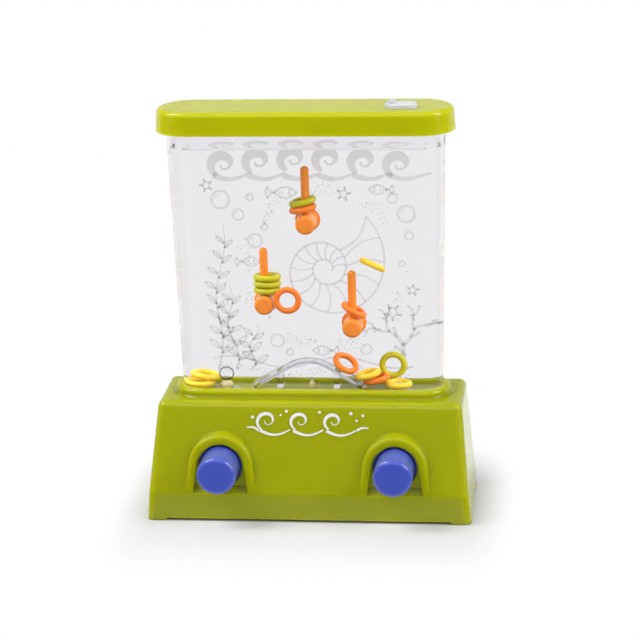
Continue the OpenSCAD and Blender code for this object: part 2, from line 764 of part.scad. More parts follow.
// The water fills the tank round everything in it
module water() {
    placed() color("lightblue", 0.3) difference() {
        low = floor_z + fit_gap;
        pill([[bore_r(low) - fit_gap, low], [bore_r(water_z) - fit_gap, water_z]], tank_span);
        for (s = [LEFT, RIGHT]) translate([s * button_x, 0, 0]) nozzle_form(fit_gap);
        pip(fit_gap);
        guide_form(fit_gap);
        for (peg = PEGS) {
            peg_form(peg, fit_gap);
            translate([peg[0], 0, peg[1]]) socket_form(peg, fit_gap);
        }
        for (ring = RINGS) ring_form(ring, fit_gap);
    }
}

module lid_gasket() {
    placed() color("dimgray") translate([0, 0, rim_z]) difference() {
        pill([[tank_r(rim_z) - fit_gap, 0], [tank_r(rim_z) - fit_gap, gasket_t]], tank_span);
        pill([[bore_r(rim_z) + fit_gap, -1], [bore_r(rim_z) + fit_gap, gasket_t + 1]], tank_span);
    }
}

module tank_lid() {
    r = lid_d / 2;
    pocket_r = tank_r(flange_z) + flange_w + seat_gap;
    rib_r = bore_r(lid_under_z - rib_h) - seat_gap;
    hollow_r = rib_r - rib_wall;
    placed() color("yellowgreen") difference() {
        union() {
            difference() {
                pill(concat([[r, lid_z]], edge_round(r - lid_taper, total_h, lid_round)), lid_span);
                pill([[pocket_r, lid_z - 1], [pocket_r, lid_under_z]], tank_span);
            }
            difference() {
                pill([[rib_r, lid_under_z - rib_h], [rib_r, lid_under_z + EPS]], tank_span);
                pill([[hollow_r, lid_under_z - rib_h - 1], [hollow_r, lid_under_z]], tank_span);
            }
        }
        translate([plug_x, -plug_front, lid_z])
            cylinder(d = plug_stem_d + 2 * fit_gap, h = lid_h + 1, $fn = FINE);
    }
}

// A soft plug with an oblong cap and a raised tab for a fingernail
module fill_plug() {
    r = plug_cap_w / 2;
    span = (plug_cap_l - plug_cap_w) / 2;
    tab_x = -span - r;
    placed() color("white") translate([plug_x, -plug_front, total_h]) {
        pill(concat([[r, 0]], edge_round(r, plug_cap_t, plug_cap_t / 3)), span);
        translate([0, 0, -plug_stem_l]) cylinder(d = plug_stem_d, h = plug_stem_l + EPS, $fn = FINE);
        translate([0, plug_tab_w / 2, plug_cap_t]) rotate([90, 0, 0]) linear_extrude(plug_tab_w) polygon([
            [tab_x + 0.5, -plug_cap_t / 2], [tab_x + 0.9, 0], [tab_x + 2, plug_tab_h * 0.8],
            [tab_x + 2.7, plug_tab_h], [tab_x + 3.2, plug_tab_h * 0.8], [tab_x + 3.8, 0],
            [tab_x + 4.4, -plug_cap_t / 2]
        ]);
    }
}

base_shell();
base_cover();
base_screws();
button(LEFT);  // button_left
button(RIGHT);  // button_right
bellows(LEFT);  // bellows_left
bellows(RIGHT);  // bellows_right
pump(LEFT);  // pump_left
pump(RIGHT);  // pump_right
pump_seal(LEFT);  // pump_seal_left
pump_seal(RIGHT);  // pump_seal_right
nozzle(LEFT);  // nozzle_left
nozzle(RIGHT);  // nozzle_right
tank();
ring_guide();
peg_at(PEGS[0]);  // peg_top
peg_at(PEGS[1]);  // peg_left
peg_at(PEGS[2]);  // peg_right
for (ring = RINGS)
    ring_at(ring);
water();
lid_gasket();
tank_lid();
fill_plug();
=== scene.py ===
"""The handheld water game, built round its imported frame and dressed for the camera.

The classes work in millimetres round the tank's middle plane, with heights from the table. Workshop.piece() turns
such a mesh into the frame's metres.
"""
from __future__ import annotations

import json
import logging
import random
from abc import ABC, abstractmethod
from collections.abc import Callable
from dataclasses import dataclass, field
from enum import Enum
from math import acos, atan2, cos, exp, hypot, log, pi, radians, sin, tan, tau

import bmesh
import bpy
from mathutils import Matrix, Vector, noise

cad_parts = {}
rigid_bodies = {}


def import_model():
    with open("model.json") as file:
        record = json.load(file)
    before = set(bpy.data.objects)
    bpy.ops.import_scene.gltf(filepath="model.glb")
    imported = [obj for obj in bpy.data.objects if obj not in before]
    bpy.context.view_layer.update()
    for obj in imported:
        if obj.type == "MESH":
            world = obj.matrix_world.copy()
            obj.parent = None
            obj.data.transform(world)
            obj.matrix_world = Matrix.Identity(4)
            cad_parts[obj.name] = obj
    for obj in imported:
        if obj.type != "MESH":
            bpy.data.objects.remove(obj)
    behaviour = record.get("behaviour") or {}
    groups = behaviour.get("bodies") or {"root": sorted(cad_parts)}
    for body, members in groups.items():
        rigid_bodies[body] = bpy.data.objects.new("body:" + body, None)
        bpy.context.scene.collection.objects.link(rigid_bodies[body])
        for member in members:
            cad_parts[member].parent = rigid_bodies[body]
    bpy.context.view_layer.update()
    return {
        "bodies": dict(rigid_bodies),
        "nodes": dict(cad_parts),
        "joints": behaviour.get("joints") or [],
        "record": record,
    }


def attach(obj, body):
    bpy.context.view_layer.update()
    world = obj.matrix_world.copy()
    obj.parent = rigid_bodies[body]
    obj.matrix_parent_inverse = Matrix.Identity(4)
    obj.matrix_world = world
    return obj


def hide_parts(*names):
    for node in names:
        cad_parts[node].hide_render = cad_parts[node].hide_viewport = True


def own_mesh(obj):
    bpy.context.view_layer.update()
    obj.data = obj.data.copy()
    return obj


LOG = logging.getLogger("water_game")
MM = 0.001
TANK_Y = 9.7 * MM
"""Where the tank's middle plane stands in the frame."""

Colour = tuple[float, float, float]
Place = tuple[float, float, float]
Flat = tuple[float, float]
"""A point of a drawing or a plan, as X and Z."""
Mesh, Vert, Edge, Face = bmesh.types.BMesh, bmesh.types.BMVert, bmesh.types.BMEdge, bmesh.types.BMFace
Node, Socket = bpy.types.Node, bpy.types.NodeSocket
Share = Callable[[float], float]
"""Gives a share of a line's width for each share of the way."""
FaceTest = Callable[[Face], bool]


def srgb(*steps: int) -> Colour:
    """Turns a colour of 0 to 255 steps into the linear values that shaders take."""
    shares = [step / 255 for step in steps]
    return tuple(share / 12.92 if share <= 0.04045 else ((share + 0.055) / 1.055) ** 2.4 for share in shares)


def scaled(colour: Colour, share: float) -> Colour:
    """Returns a colour with its light scaled by a share."""
    return tuple(part * share for part in colour)


def spot(place: Flat, reach: float, angle: float) -> Flat:
    """Returns the point at a distance from a place, at an angle in radians from the right."""
    return place[0] + reach * cos(angle), place[1] + reach * sin(angle)


def between(start: Flat, end: Flat, share: float) -> Flat:
    """Returns the point at a share of the way between two points."""
    return start[0] + (end[0] - start[0]) * share, start[1] + (end[1] - start[1]) * share


def only(kind: type, items: list) -> list:
    """Picks the points, edges or faces among an operator's results."""
    return [item for item in items if isinstance(item, kind)]


def add_object(name: str, data: bpy.types.ID) -> bpy.types.Object:
    """Puts a mesh, a lamp or a camera into the scene."""
    made = bpy.data.objects.new(name, data)
    bpy.context.scene.collection.objects.link(made)
    return made


def add_mesh(name: str, mesh: Mesh) -> bpy.types.Object:
    """Puts a bmesh into the scene as an object and frees it."""
    data = bpy.data.meshes.new(name)
    mesh.to_mesh(data)
    mesh.free()
    return add_object(name, data)


class Body(Enum):
    """The moving groups of the frame."""

    BODY = "body"
    BUTTON_LEFT = "button_left"
    BUTTON_RIGHT = "button_right"
    FILL_PLUG = "fill_plug"
    RINGS_PEG_TOP = "rings_peg_top"
    RINGS_PEG_LEFT = "rings_peg_left"
    RINGS_PEG_RIGHT = "rings_peg_right"
    RINGS_LOOSE = "rings_loose"
    RINGS_DRIFTING = "rings_drifting"
    RINGS_FLOOR_LEFT = "rings_floor_left"
    RINGS_FLOOR_RIGHT = "rings_floor_right"


class Graph:
    """The node tree of a material or of the world, with short ways to add and join its nodes."""

    def __init__(self, owner: bpy.types.Material | bpy.types.World, end: str = "OutputMaterial") -> None:
        """Starts a tree that holds only its output.

        Args:
            owner: The material or the world.
            end: The output node's kind.
        """
        owner.use_nodes = True
        self.tree = owner.node_tree
        self.tree.nodes.clear()
        self.output = self.node(end)

    def node(self, kind: str, inputs: dict[str | int, object] | None = None, **settings: object) -> Node:
        """Adds a node.

        Args:
            kind: The node's type name after "ShaderNode".
            inputs: For an input's name or number, a value or another node's output.
            **settings: Values for the node's own properties.

        Returns:
            The new node.
        """
        made = self.tree.nodes.new(f"ShaderNode{kind}")
        for key, value in settings.items():
            setattr(made, key, value)
        for key, value in (inputs or {}).items():
            if isinstance(value, Socket):
                self.tree.links.new(value, made.inputs[key])
            else:
                made.inputs[key].default_value = value
        return made

    def finish(self, shader: Node) -> None:
        """Joins a shader to the output."""
        self.tree.links.new(shader.outputs[0], self.output.inputs["Surface"])

    def object_space(self) -> Socket:
        """Returns the coordinates of the piece itself, in metres."""
        return self.node("TexCoord").outputs["Object"]

    def ray(self, kind: str) -> Socket:
        """Returns whether the ray is of a kind, such as Shadow."""
        return self.node("LightPath").outputs[f"Is {kind} Ray"]

    def noise(self, scale: float, detail: float = 2.0, distortion: float = 0.0) -> Socket:
        """Returns a noise of 0 to 1 over the piece, whose scale is in waves per metre."""
        return self.node("TexNoise", {"Vector": self.object_space(), "Scale": scale, "Detail": detail,
                                      "Distortion": distortion}).outputs["Fac"]

    def ramp(self, factor: Socket, low: Colour, high: Colour, start: float = 0.3, end: float = 0.7) -> Socket:
        """Blends between two colours.

        Args:
            factor: What drives the blend.
            low: The colour at and below start.
            high: The colour at and above end.
            start: Where the blend begins.
            end: Where it ends.

        Returns:
            The blended colour.
        """
        made = self.node("ValToRGB", {"Fac": factor})
        for element, place, colour in zip(made.color_ramp.elements, (start, end), (low, high)):
            element.position, element.color = place, (*colour, 1)
        return made.outputs["Color"]

    def span(self, value: Socket, low: float, high: float) -> Socket:
        """Maps a value of 0 to 1 to a range."""
        return self.node("MapRange", {"Value": value, "To Min": low, "To Max": high}).outputs["Result"]

    def slope(self, value: Socket, start: float, end: float, low: float = 0.0, high: float = 1.0) -> Socket:
        """Maps a value smoothly from one range, start to end, to another, low to high."""
        return self.node("MapRange", {"Value": value, "From Min": start, "From Max": end, "To Min": low,
                                      "To Max": high}, interpolation_type="SMOOTHSTEP").outputs["Result"]

    def blend(self, share: Socket, low: Socket | float, high: Socket | float) -> Socket:
        """Mixes two values, the share being that of the second."""
        return self.node("Mix", {"Factor": share, "A": low, "B": high}).outputs["Result"]

    def combine(self, operation: str, first: Socket, second: Socket) -> Socket:
        """Works out the product, or the like, of two values."""
        return self.node("Math", {0: first, 1: second}, operation=operation).outputs[0]

    def mix(self, share: Socket | float, first: Node, second: Node) -> Node:
        """Mixes two shaders, the share being that of the second."""
        return self.node("MixShader", {"Fac": share, 1: first.outputs[0], 2: second.outputs[0]})

    def bump(self, height: Socket, depth: float, under: Socket | None = None) -> Socket:
        """Turns a height into a surface direction.

        Args:
            height: The height, from 0 to 1.
            depth: How deep it goes, in metres.
            under: The direction that it is laid over.

        Returns:
            The surface direction.
        """
        inputs = {"Distance": depth, "Strength": 1.0, "Height": height}
        if under is not None:
            inputs["Normal"] = under
        return self.node("Bump", inputs).outputs["Normal"]

    def soft_edges(self, radius: float) -> Socket:
        """Returns a surface direction that is rounded at edges and in corners."""
        return self.node("Bevel", {"Radius": radius}, samples=6).outputs["Normal"]


@dataclass(frozen=True)
class Finish(ABC):
    """What a piece's surface is made of."""

    name: str

    @abstractmethod
    def shader(self, graph: Graph) -> Node:
        """Adds the finish's nodes.

        Args:
            graph: The material's tree.

        Returns:
            The shader that they end in.
        """

    def material(self) -> bpy.types.Material:
        """Builds the material."""
        made = bpy.data.materials.new(self.name)
        graph = Graph(made)
        graph.finish(self.shader(graph))
        return made


@dataclass(frozen=True)
class MouldedPlastic(Finish):
    """An opaque moulded plastic with slight flow marks and fine grain."""

    colour: Colour
    roughness: float = 0.2
    mottle: float = 0.03
    """How far the flow marks differ from the colour."""
    grain: float = 0.000002
    edge: float = 0.0004
    """Radius of its soft edges, in metres, or 0 where the mesh itself is rounded."""
    glow: float = 0.0
    """How much light spreads inside the wall."""
    reach: float = 0.0015
    """How far it spreads, in metres."""
    ior: float = 1.44

    def shader(self, graph: Graph) -> Node:
        """Mixes flow marks, uneven gloss, grain and light that spreads inside the wall.

        Args:
            graph: The material's tree.

        Returns:
            The shader.
        """
        flow = graph.noise(55, detail=3, distortion=0.6)
        gloss = graph.noise(420, detail=4)
        grain = graph.noise(1800, detail=3)
        return graph.node("BsdfPrincipled", {
            "Base Color": graph.ramp(flow, scaled(self.colour, 1 - self.mottle), scaled(self.colour, 1 + self.mottle)),
            "Roughness": graph.span(gloss, self.roughness - 0.03, self.roughness + 0.05),
            "Normal": graph.bump(grain, self.grain, graph.soft_edges(self.edge) if self.edge else None),
            "IOR": self.ior,
            "Subsurface Weight": self.glow,
            "Subsurface Radius": (1.0, 0.85, 0.6),
            "Subsurface Scale": self.reach,
        })


@dataclass(frozen=True)
class ClearFinish(Finish):
    """A clear solid or liquid that bends light and lets lamps through."""

    tint: Colour
    ior: float
    ripple: float = 0.0
    """Depth of the surface's slow waviness, in metres."""

    def shader(self, graph: Graph) -> Node:
        """Mixes the clear body with a way through for the lamps' light.

        Args:
            graph: The material's tree.

        Returns:
            The shader.
        """
        inputs = {"Base Color": (*self.tint, 1), "Transmission Weight": 1.0, "Roughness": 0.0, "IOR": self.ior}
        if self.ripple:
            inputs["Normal"] = graph.bump(graph.noise(60, detail=1), self.ripple)
        return graph.mix(graph.ray("Shadow"), graph.node("BsdfPrincipled", inputs), graph.node("BsdfTransparent"))


@dataclass(frozen=True)
class WaterSide(Finish):
    """The water's faces against plastic, whose bending of light the wet plastic already gives."""

    def shader(self, graph: Graph) -> Node:
        """Lets all light through."""
        return graph.node("BsdfTransparent")


@dataclass(frozen=True)
class AirBubble(Finish):
    """Air in water: clear in the middle, with a rim of painted shade and a glint."""

    # Painted shade: the colour that the light let through turns to at the bubble's rim.
    rim: Colour = (0.08, 0.085, 0.09)

    def shader(self, graph: Graph) -> Node:
        """Paints shade on the rim, slightly unevenly, by letting less light through there, and lays a weak gloss over
        it.

        Args:
            graph: The material's tree.

        Returns:
            The shader.
        """
        facing = graph.node("LayerWeight", {"Blend": 0.5}).outputs["Facing"]
        facing = graph.combine("MULTIPLY", facing, graph.span(graph.noise(400, detail=1), 0.9, 1.1))
        # Painted shade: the more edge-on the surface, the darker the light let through.
        through = graph.node("BsdfTransparent", {"Color": graph.ramp(facing, (1, 1, 1), self.rim, 0.4, 0.75)})
        return graph.mix(0.06, through, graph.node("BsdfGlossy", {"Roughness": 0.05}))


@dataclass(frozen=True)
class PrintInk(Finish):
    """A thin screen print with slightly uneven ink."""

    colour: Colour
    cover: float = 1.0
    """Share of the light that the ink stops."""

    def shader(self, graph: Graph) -> Node:
        """Mixes uneven ink with a fine tooth.

        Args:
            graph: The material's tree.

        Returns:
            The shader.
        """
        ink = graph.noise(900, detail=3)
        return graph.node("BsdfPrincipled", {
            "Base Color": graph.ramp(ink, scaled(self.colour, 0.95), scaled(self.colour, 1.05)),
            "Roughness": graph.span(graph.noise(1400), 0.45, 0.6),
            "Normal": graph.bump(graph.noise(3000, detail=2), 0.000003),
            "Alpha": self.cover,
        })


@dataclass(frozen=True)
class Rubber(Finish):
    """A soft dull rubber with fine dust."""

    colour: Colour
    roughness: float = 0.62

    def shader(self, graph: Graph) -> Node:
        """Mixes dust, uneven gloss and a fine tooth.

        Args:
            graph: The material's tree.

        Returns:
            The shader.
        """
        dust = graph.noise(700, detail=5, distortion=0.4)
        return graph.node("BsdfPrincipled", {
            "Base Color": graph.ramp(dust, self.colour, scaled(self.colour, 1.5), 0.45, 0.8),
            "Roughness": graph.span(graph.noise(300), self.roughness - 0.08, self.roughness + 0.1),
            "Normal": graph.bump(graph.noise(2500, detail=2), 0.00002),
        })


@dataclass(frozen=True)
class TurnedSteel(Finish):
    """Plated screw steel with turning marks."""

    colour: Colour

    def shader(self, graph: Graph) -> Node:
        """Lets the turning marks drive colour, gloss and bump.

        Args:
            graph: The material's tree.

        Returns:
            The shader.
        """
        marks = graph.noise(1500, detail=3, distortion=2.0)
        return graph.node("BsdfPrincipled", {
            "Base Color": graph.ramp(marks, scaled(self.colour, 0.85), self.colour),
            "Metallic": 1.0,
            "Roughness": graph.span(marks, 0.22, 0.4),
            "Normal": graph.bump(marks, 0.00001),
        })


class Palette:
    """Every finish on the game."""

    # LIME and the lid's lime are one plastic in two shades: the lid's copy is painted lighter, as painted light for
    # the more brightly lit lid.
    LIME = MouldedPlastic("lime_plastic", srgb(165, 170, 0), 0.13, 0.025, edge=0.0005, glow=1.0, reach=0.006)
    LIME_LID_PAINTED_LIGHTER = MouldedPlastic("thin_lime_plastic", srgb(188, 191, 2), 0.13, 0.025, edge=0.0003, glow=1.0, reach=0.004)
    BLUE = MouldedPlastic("blue_plastic", srgb(74, 92, 196), 0.06, 0.03, 0.0000005, edge=0, glow=0.5, reach=0.002,
                          ior=1.7)
    WHITE = MouldedPlastic("white_plastic", srgb(222, 222, 220), 0.3)
    PLUG = MouldedPlastic("white_soft_plastic", srgb(214, 216, 226), 0.3, 0.02, edge=0.0003)
    PEG = MouldedPlastic("orange_peg_plastic", srgb(255, 150, 48), 0.22, 0.04, edge=0, glow=0.6, reach=0.001)
    RING_ORANGE, RING_LIME, RING_YELLOW = (
        MouldedPlastic(f"{name}_ring_plastic", colour, 0.28, 0.06, 0.000004, edge=0, glow=0.5, reach=0.002)
        for name, colour in (("orange", srgb(250, 132, 34)), ("lime", srgb(196, 192, 14)),
                             ("yellow", srgb(250, 212, 54))))
    NOZZLE = MouldedPlastic("milky_nozzle_plastic", srgb(205, 196, 150), 0.25, 0.04, edge=0.0002, glow=1.0,
                            reach=0.002)
    TANK = ClearFinish("clear_tank_plastic", (0.957, 0.952, 0.976), 1.49, 0.00001)
    TANK_WET = ClearFinish("wet_tank_plastic", (1.0, 1.0, 1.0), 1.12, 0.00001)
    """The tank's plastic against water, which bends light far less than against air."""
    GUIDE = ClearFinish("clear_guide_plastic", (0.82, 0.83, 0.86), 1.14)
    # Painted shade: the beads' darker tint draws dark lines along the clear arch's edges.
    GUIDE_EDGE = ClearFinish("guide_edge_plastic", (0.72, 0.74, 0.78), 1.14)
    WATER = ClearFinish("water", (0.99, 0.99, 0.995), 1.33)
    WATER_SIDE = WaterSide("water_against_plastic")
    BUBBLE = AirBubble("air_bubble")
    PRINT_GREY = PrintInk("print_grey", srgb(196, 193, 192), 0.17)
    PRINT_PALE = PrintInk("print_pale", srgb(208, 198, 182), 0.18)
    PRINT_WHITE = PrintInk("print_white", srgb(232, 229, 220))
    BELLOWS = Rubber("bellows_rubber", srgb(42, 42, 45))
    SEAL = Rubber("seal_rubber", srgb(180, 180, 174), 0.7)
    STEEL = TurnedSteel("plated_steel", srgb(186, 186, 190))


class PillLoft:
    """A body whose plan is a bar with half-round ends, grown upwards level by level."""

    SEGMENTS = 64
    """Points on both ends together."""

    def __init__(self, span: float, radius: float, z: float) -> None:
        """Starts the body with its lowest outline.

        Args:
            span: Distance of the ends' centres from the middle.
            radius: Radius of the ends.
            z: Height of the outline.
        """
        self.mesh = bmesh.new()
        self.span, self.radius, self.z = span, radius, z
        bmesh.ops.create_circle(self.mesh, segments=self.SEGMENTS, radius=radius,
                                matrix=Matrix.Rotation(pi / self.SEGMENTS, 4, "Z"))
        self.verts, self.edges = self.mesh.verts[:], self.mesh.edges[:]
        for side in (-1, 1):
            bmesh.ops.translate(self.mesh, verts=self.half(side), vec=(side * span, 0, z))
        bmesh.ops.edgeloop_fill(self.mesh, edges=self.edges)

    def half(self, side: int) -> list[Vert]:
        """Returns the points of the topmost outline on one side, -1 or 1."""
        return [vert for vert in self.verts if vert.co.x * side > 0]

    def grow(self, radius: float, z: float) -> None:
        """Extrudes the topmost outline.

        Args:
            radius: The new outline's radius.
            z: Its height.
        """
        made = bmesh.ops.extrude_edge_only(self.mesh, edges=self.edges)["geom"]
        self.verts, self.edges = only(Vert, made), only(Edge, made)
        share = radius / self.radius
        for side in (-1, 1):
            bmesh.ops.scale(self.mesh, verts=self.half(side), vec=(share, share, 1),
                            space=Matrix.Translation((-side * self.span, 0, 0)))
        bmesh.ops.translate(self.mesh, verts=self.verts, vec=(0, 0, z - self.z))
        self.radius, self.z = radius, z

    def close(self, cell: float) -> list[Vert]:
        """Closes the top with a face that is cut into square cells.

        Args:
            cell: Side of a cell.

        Returns:
            The points inside the top.
        """
        rim = set(self.verts)
        parts = bmesh.ops.edgeloop_fill(self.mesh, edges=self.edges)["faces"] + self.edges + self.verts
        for axis, reach in ((Vector((1, 0, 0)), self.span + self.radius), (Vector((0, 1, 0)), self.radius)):
            steps = int(reach / cell)
            for i in range(-steps, steps + 1):
                parts = bmesh.ops.bisect_plane(self.mesh, geom=parts, dist=1e-4, plane_co=axis * (i * cell + 0.01),
                                               plane_no=axis)["geom"]
        return [vert for vert in only(Vert, parts) if vert not in rim]


class Drawing:
    """Flat line work on an upright plane, X to the right and Z up, made of thin closed slips."""

    def __init__(self, line: float) -> None:
        """Starts an empty drawing whose lines usually have this width."""
        self.mesh = bmesh.new()
        self.line = line

    def stroke(self, path: Callable[[float], Vector], steps: int, width: float = 0.0,
               swell: Share | None = None) -> None:
        """Draws a line along a path.

        Args:
            path: Gives the point for each share of the way.
            steps: How many pieces the line has.
            width: Its width, or 0 for the usual one.
            swell: The share of the width along the way.
        """
        half = (width or self.line) / 2
        for vert in bmesh.ops.create_grid(self.mesh, x_segments=steps, y_segments=1, size=0.5)["verts"]:
            share, side = vert.co.x + 0.5, vert.co.y * 2
            point = path(share)
            ahead = (path(min(share + 0.002, 1.0)) - path(max(share - 0.002, 0.0))).normalized()
            off = half * side * (swell(share) if swell else 1.0)
            vert.co = (point.x - ahead.y * off, 0, point.y + ahead.x * off)

    def bow(self, start: Flat, end: Flat, bend: float, width: float = 0.0, swell: Share | None = None) -> None:
        """Draws a bent line between two points.

        Args:
            start: Its start.
            end: Its end.
            bend: How far its middle stands to the left.
            width: Its width, or 0 for the usual one.
            swell: The share of the width along the way.
        """
        low, high = Vector(start), Vector(end)
        side = Vector((low.y - high.y, high.x - low.x)).normalized() * bend
        self.stroke(lambda share: low.lerp(high, share) + side * sin(pi * share), 10, width, swell)

    def ring(self, place: Flat, radius: float, width: float = 0.0) -> None:
        """Draws a circle's line round a place."""
        self.stroke(lambda share: Vector(spot(place, radius, tau * share)), 28, width)

    def dot(self, place: Flat, radius: float) -> None:
        """Draws a small filled dot.

        Args:
            place: Its middle.
            radius: Its radius.
        """
        made = bmesh.ops.create_circle(self.mesh, cap_ends=True, segments=8, radius=radius)["verts"]
        bmesh.ops.rotate(self.mesh, verts=made, cent=(0, 0, 0), matrix=Matrix.Rotation(-pi / 2, 3, "X"))
        bmesh.ops.translate(self.mesh, verts=made, vec=(place[0], 0, place[1]))

    def leaf(self, place: Flat, length: float, width: float, turn: float) -> None:
        """Draws a leaf's outline with its rib.

        Args:
            place: Where its stalk is.
            length: Its length.
            width: Its width.
            turn: Its angle from the right, in degrees.
        """
        tip = spot(place, length, radians(turn))
        self.bow(place, tip, width / 2)
        self.bow(place, tip, -width / 2)
        self.bow(place, between(place, tip, 0.6), 0.0, self.line * 0.7)

    def curl(self, place: Flat, size: float, width: float) -> None:
        """Draws a rolling wave: a rise that winds into a curl.

        Args:
            place: The curl's centre.
            size: The curl's outer radius.
            width: Its greatest width.
        """
        def path(share: float) -> Vector:
            """Winds inwards, a little wider than high."""
            angle = pi * 1.35 - tau * 1.15 * share
            radius = size * (1 - 0.78 * share)
            return Vector((place[0] + radius * cos(angle) * (1.15 - 0.15 * share),
                           place[1] + radius * sin(angle)))

        def swell(share: float) -> float:
            """Is widest on the rise and thin in the curl."""
            return 0.25 + 0.75 * sin(pi * (share * 1.5 + 0.05)) ** 0.7 if share < 0.63 else 0.25
        self.stroke(path, 30, width, swell)

    def finish(self, thick: float, place: Callable[[Vector], Vector]) -> Mesh:
        """Gives the drawing its thickness and lays it on a surface.

        Args:
            thick: Its thickness.
            place: Moves a point (x, distance off the surface, z) of the drawing to its place.

        Returns:
            The drawing's mesh.
        """
        bmesh.ops.recalc_face_normals(self.mesh, faces=self.mesh.faces)
        for face in self.mesh.faces:
            if face.normal.y < 0:
                face.normal_flip()
        made = bmesh.ops.extrude_face_region(self.mesh, geom=self.mesh.faces[:], use_keep_orig=True)["geom"]
        bmesh.ops.translate(self.mesh, verts=only(Vert, made), vec=(0, thick, 0))
        for vert in self.mesh.verts:
            vert.co = place(vert.co)
        bmesh.ops.recalc_face_normals(self.mesh, faces=self.mesh.faces)
        return self.mesh


class Workshop:
    """Makes pieces and hands them to the frame."""

    def __init__(self, frame: dict) -> None:
        """Keeps the frame and the materials that were made.
        """
        self.frame = frame
        self.made: dict[str, bpy.types.Material] = {}
        self.slots = {part["node"]: part["material_slot"] for part in frame["record"]["subparts"]}

    def material(self, finish: Finish) -> bpy.types.Material:
        """Returns a finish's material, building it the first time."""
        if finish.name not in self.made:
            self.made[finish.name] = finish.material()
        return self.made[finish.name]

    def piece(self, name: str, mesh: Mesh, finish: Finish, body: Body = Body.BODY, replaces: tuple[str, ...] = (),
              slot: str | None = None, sharp: float = 35.0, lining: tuple[Finish, FaceTest] | None = None,
              metres: bool = False) -> bpy.types.Object:
        """Turns a mesh into a piece of the game.

        Args:
            name: The piece's name.
            mesh: Its mesh, which is freed.
            finish: Its finish.
            body: The body that it rides on.
            replaces: The frame's nodes that it stands for.
            slot: The record's material slot; not used.
            sharp: The angle, in degrees, from which an edge stays sharp.
            lining: A second finish, and the test that picks its faces, in metres.
            metres: Whether the mesh is in the frame's metres already.

        Returns:
            The piece.
        """
        if not metres:
            bmesh.ops.scale(mesh, vec=(MM, MM, MM), verts=mesh.verts)
            bmesh.ops.translate(mesh, vec=(0, TANK_Y, 0), verts=mesh.verts)
        for edge in mesh.edges:
            edge.smooth = edge.is_manifold and edge.calc_face_angle(0.0) < radians(sharp)
        for face in mesh.faces:
            face.smooth = True
            face.material_index = int(lining is not None and lining[1](face))
        made = add_mesh(name, mesh)
        for worn in (finish, lining[0]) if lining else (finish,):
            made.data.materials.append(self.material(worn))
        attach(made, body.value)
        if replaces:
            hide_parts(*replaces)
        LOG.info("%s: %d faces on %s", name, len(made.data.polygons), body.value)
        return made

    def dress(self, node: str, finish: Finish, body: Body = Body.BODY, sharp: float = 35.0,
              adjust: Callable[[Mesh], None] | None = None,
              lining: tuple[Finish, FaceTest] | None = None) -> bpy.types.Object:
        """Shows a frame node through a copy whose loose triangles are merged and evenly shaded.

        Args:
            node: The node's name.
            finish: Its finish.
            body: The body that it rides on.
            sharp: The angle from which an edge stays sharp.
            adjust: Changes the copy, in the frame's metres.
            lining: A second finish, and the test that picks its faces.

        Returns:
            The piece.
        """
        mesh = bmesh.new()
        mesh.from_mesh(self.frame["nodes"][node].data)
        bmesh.ops.remove_doubles(mesh, verts=mesh.verts, dist=2e-6)
        bmesh.ops.dissolve_degenerate(mesh, edges=mesh.edges, dist=1e-7)
        if adjust:
            adjust(mesh)
        made = self.piece(f"{node}_shown", mesh, finish, body, (node,), self.slots[node], sharp, lining, metres=True)
        made.modifiers.new("even_shading", "WEIGHTED_NORMAL").keep_sharp = True
        return made


@dataclass
class Section(ABC):
    """A sub-assembly of the game."""

    shop: Workshop

    @abstractmethod
    def build(self) -> None:
        """Builds and dresses the section's pieces."""


@dataclass
class Base(Section):
    """The lime base: shell, cover, screws and the waves on its front."""

    crease: Flat = (-26.0, 10.3)
    """Depth and height of the crease at the slope's foot."""
    lean: float = 22.15
    """How far the slope leans back, in degrees."""
    motif_middle: Flat = (-0.3, 23.9)
    """Middle of the waves, along the base and up the slope."""
    motif_size: float = 1.1

    def place(self, point: Vector) -> Vector:
        """Lays a point of a drawing on the sloping front."""
        flat = Vector((self.motif_middle[0] + point.x, -point.y - 0.02, self.motif_middle[1] + point.z))
        return Vector((0, *self.crease)) + Matrix.Rotation(-radians(self.lean), 3, "X") @ flat

    def waves(self) -> Mesh:
        """Draws three rolling waves with spray on the sloping front.

        Returns:
            The waves' mesh.
        """
        art = Drawing(0.85)
        for i, x in enumerate((-12.6, -2.2, 8.2)):
            art.curl((x, 1.1), 3.1 - 0.15 * i, 1.05)
            art.bow((x - 2.2, -1.9), (x + 7.2, -1.6), -1.5, 0.95, lambda share: 1 - 0.55 * share)
        art.bow((15.6, -1.6), (19.2, -1.0), 0.5, 0.8, lambda share: 1 - 0.5 * share)
        art.bow((-19.0, -1.1), (-15.2, -2.0), 0.6, 0.8, lambda share: 0.5 + 0.5 * share)
        for *place, radius in ((-17.2, 2.2, 0.55), (-6.6, 4.1, 0.5), (3.8, 3.9, 0.45), (13.6, 3.6, 0.55),
                               (15.4, 1.4, 0.4), (17.3, 3.0, 0.45), (-8.4, 2.9, 0.35)):
            art.dot(place, radius)
        bmesh.ops.scale(art.mesh, vec=(self.motif_size, 1, self.motif_size), verts=art.mesh.verts)
        return art.finish(0.1, self.place)

    def build(self) -> None:
        """Dresses the base and prints its front."""
        self.shop.dress("base_shell", Palette.LIME, sharp=30)
        self.shop.dress("base_cover", Palette.LIME)
        self.shop.dress("base_screws", Palette.STEEL)
        self.shop.piece("front_waves", self.waves(), Palette.PRINT_WHITE)


